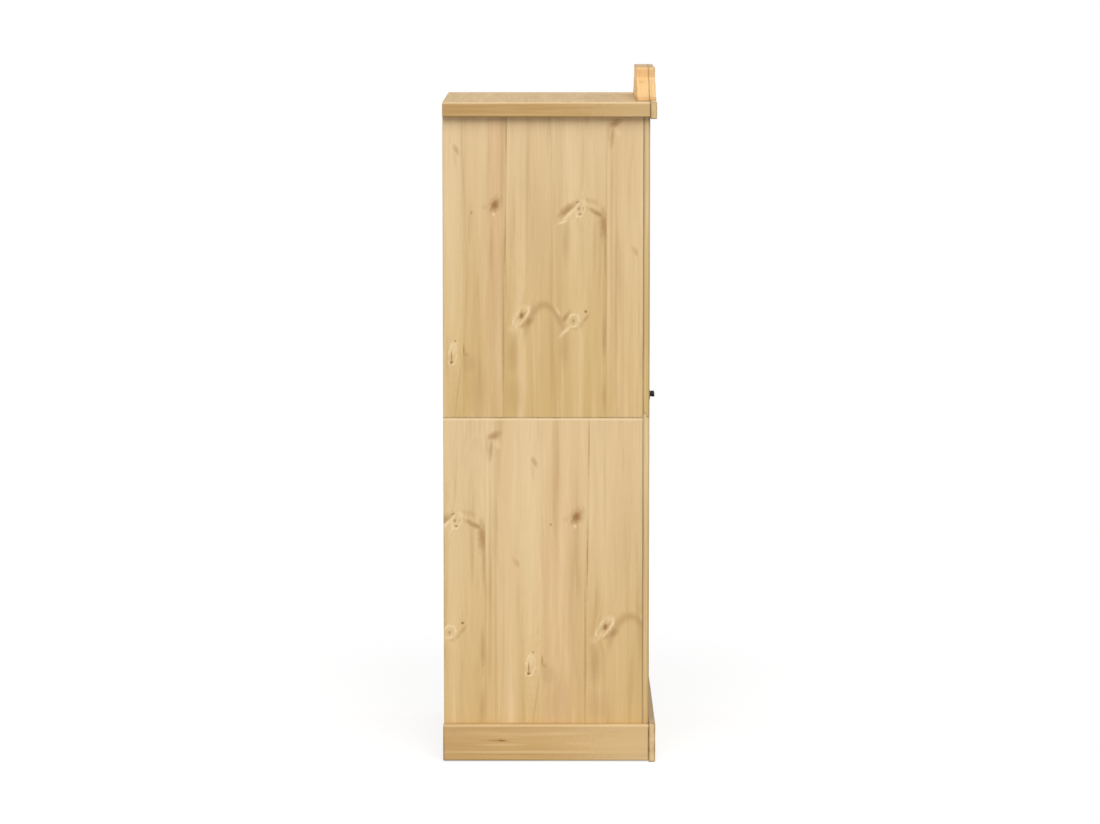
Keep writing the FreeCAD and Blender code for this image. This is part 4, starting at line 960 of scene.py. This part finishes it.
class CABINET_OT_stage(bpy.types.Operator):
    """Make the camera, the lamps, the pale floor and the white surroundings"""

    bl_idname = "cabinet.stage"
    bl_label = "Stage"

    NEAR_GLOW = 0.75      # share of white that the floor itself gives beside the cabinet

    def camera(self, scene, stage):
        data = bpy.data.cameras.new("camera")
        data.lens = stage.focal_length
        data.sensor_width = 36
        eye = bpy.data.objects.new("camera", data)
        eye.location = (-stage.camera_distance, stage.camera_shift, stage.camera_height)
        eye.rotation_euler = (math.radians(90) - stage.camera_tilt, 0, math.radians(-90))
        scene.collection.objects.link(eye)
        scene.camera = eye

    def lamp(self, scene, name, strength, spread, turn, height):
        """A broad light far away: turn is its compass angle about the cabinet, from the front."""
        data = bpy.data.lights.new(name, "SUN")
        data.energy = strength
        data.angle = spread
        lamp = bpy.data.objects.new(name, data)
        lamp.rotation_euler = (math.radians(90) - height, 0, turn)
        scene.collection.objects.link(lamp)

    def surroundings(self, scene, stage):
        world = bpy.data.worlds.new("studio")
        scene.world = world
        wires = empty_tree(world)
        strength = wires.math("MULTIPLY_ADD", seen_rays(wires), 1.0 - stage.sky, stage.sky)
        light = wires.add("ShaderNodeBackground")
        wires.feed(light.inputs["Strength"], strength)
        light.inputs["Color"].default_value = (1, 1, 1, 1)
        output = wires.add("ShaderNodeOutputWorld")
        wires.feed(output.inputs["Surface"], light.outputs[0])

    def floor(self, scene, stage):
        half = stage.floor_width / 2
        mesh = bpy.data.meshes.new("floor")
        corners = [(-half, -half, 0), (half, -half, 0), (half, half, 0), (-half, half, 0)]
        mesh.from_pydata(corners, [], [(0, 1, 2, 3)])
        ground = bpy.data.objects.new("floor", mesh)
        scene.collection.objects.link(ground)
        material = bpy.data.materials.new("floor")
        wires = empty_tree(material)
        seen = seen_rays(wires)
        reach = wires.add("ShaderNodeVectorMath", operation="LENGTH")
        wires.feed(reach.inputs[0], wires.add("ShaderNodeTexCoord").outputs["Object"])
        far = wires.rise(reach.outputs["Value"], stage.fade_start, stage.fade_end)
        grey = wires.mix(seen, (stage.floor_bounce,) * 3, (stage.floor_shade,) * 3)
        matt = wires.add("ShaderNodeBsdfDiffuse")
        wires.feed(matt.inputs["Color"], wires.mix(wires.times(far, seen), grey, (0, 0, 0)))
        glow = wires.add("ShaderNodeEmission")
        white = wires.math("MULTIPLY_ADD", far, 1 - self.NEAR_GLOW, self.NEAR_GLOW)
        wires.feed(glow.inputs["Strength"], wires.times(seen, white))
        both = wires.add("ShaderNodeAddShader")
        wires.feed(both.inputs[0], matt.outputs[0])
        wires.feed(both.inputs[1], glow.outputs[0])
        output = wires.add("ShaderNodeOutputMaterial")
        wires.feed(output.inputs["Surface"], both.outputs[0])
        mesh.materials.append(material)

    def execute(self, context):
        scene = context.scene
        stage = scene.cabinet.stage
        scene.view_settings.view_transform = "Standard"
        self.camera(scene, stage)
        self.lamp(scene, "main_light", stage.main_light, stage.main_spread, math.radians(-90),
                  stage.main_height)
        for name, turn in (("front_light", 0.0), ("back_light", math.radians(180))):
            self.lamp(scene, name, stage.fill_light, stage.main_spread, turn, stage.fill_height)
        self.surroundings(scene, stage)
        self.floor(scene, stage)
        return {"FINISHED"}


OPERATORS = (
    CABINET_OT_side_panels,
    CABINET_OT_face_frame,
    CABINET_OT_level_boards,
    CABINET_OT_back_panels,
    CABINET_OT_cornice,
    CABINET_OT_crest,
    CABINET_OT_plinth,
    CABINET_OT_doors,
    CABINET_OT_knobs,
    CABINET_OT_hinges,
    CABINET_OT_fixings,
    CABINET_OT_stage,
)


class CABINET_PT_sidebar(bpy.types.Panel):
    """The cabinet's pieces and settings in the sidebar"""

    bl_label = "Tall pine cabinet"
    bl_idname = "CABINET_PT_sidebar"
    bl_space_type = "VIEW_3D"
    bl_region_type = "UI"
    bl_category = "Cabinet"

    def draw(self, context):
        settings = context.scene.cabinet
        for operator in OPERATORS:
            self.layout.operator(operator.bl_idname)
        self.layout.prop(settings, "first_board")
        for group in (settings.pine, settings.fittings, settings.stage):
            box = self.layout.box()
            for name in group.__annotations__:
                box.prop(group, name)


CLASSES = (PineFinish, FittingFinish, StageLayout, CabinetSettings, *OPERATORS, CABINET_PT_sidebar)


def register():
    for item in CLASSES:
        bpy.utils.register_class(item)
    bpy.types.Scene.cabinet = PointerProperty(type=CabinetSettings)


def unregister():
    del bpy.types.Scene.cabinet
    for item in reversed(CLASSES):
        bpy.utils.unregister_class(item)


def main():
    register()
    for operator in OPERATORS:
        group, name = operator.bl_idname.split(".")
        getattr(getattr(bpy.ops, group), name)()


if __name__ == "__main__":
    main()
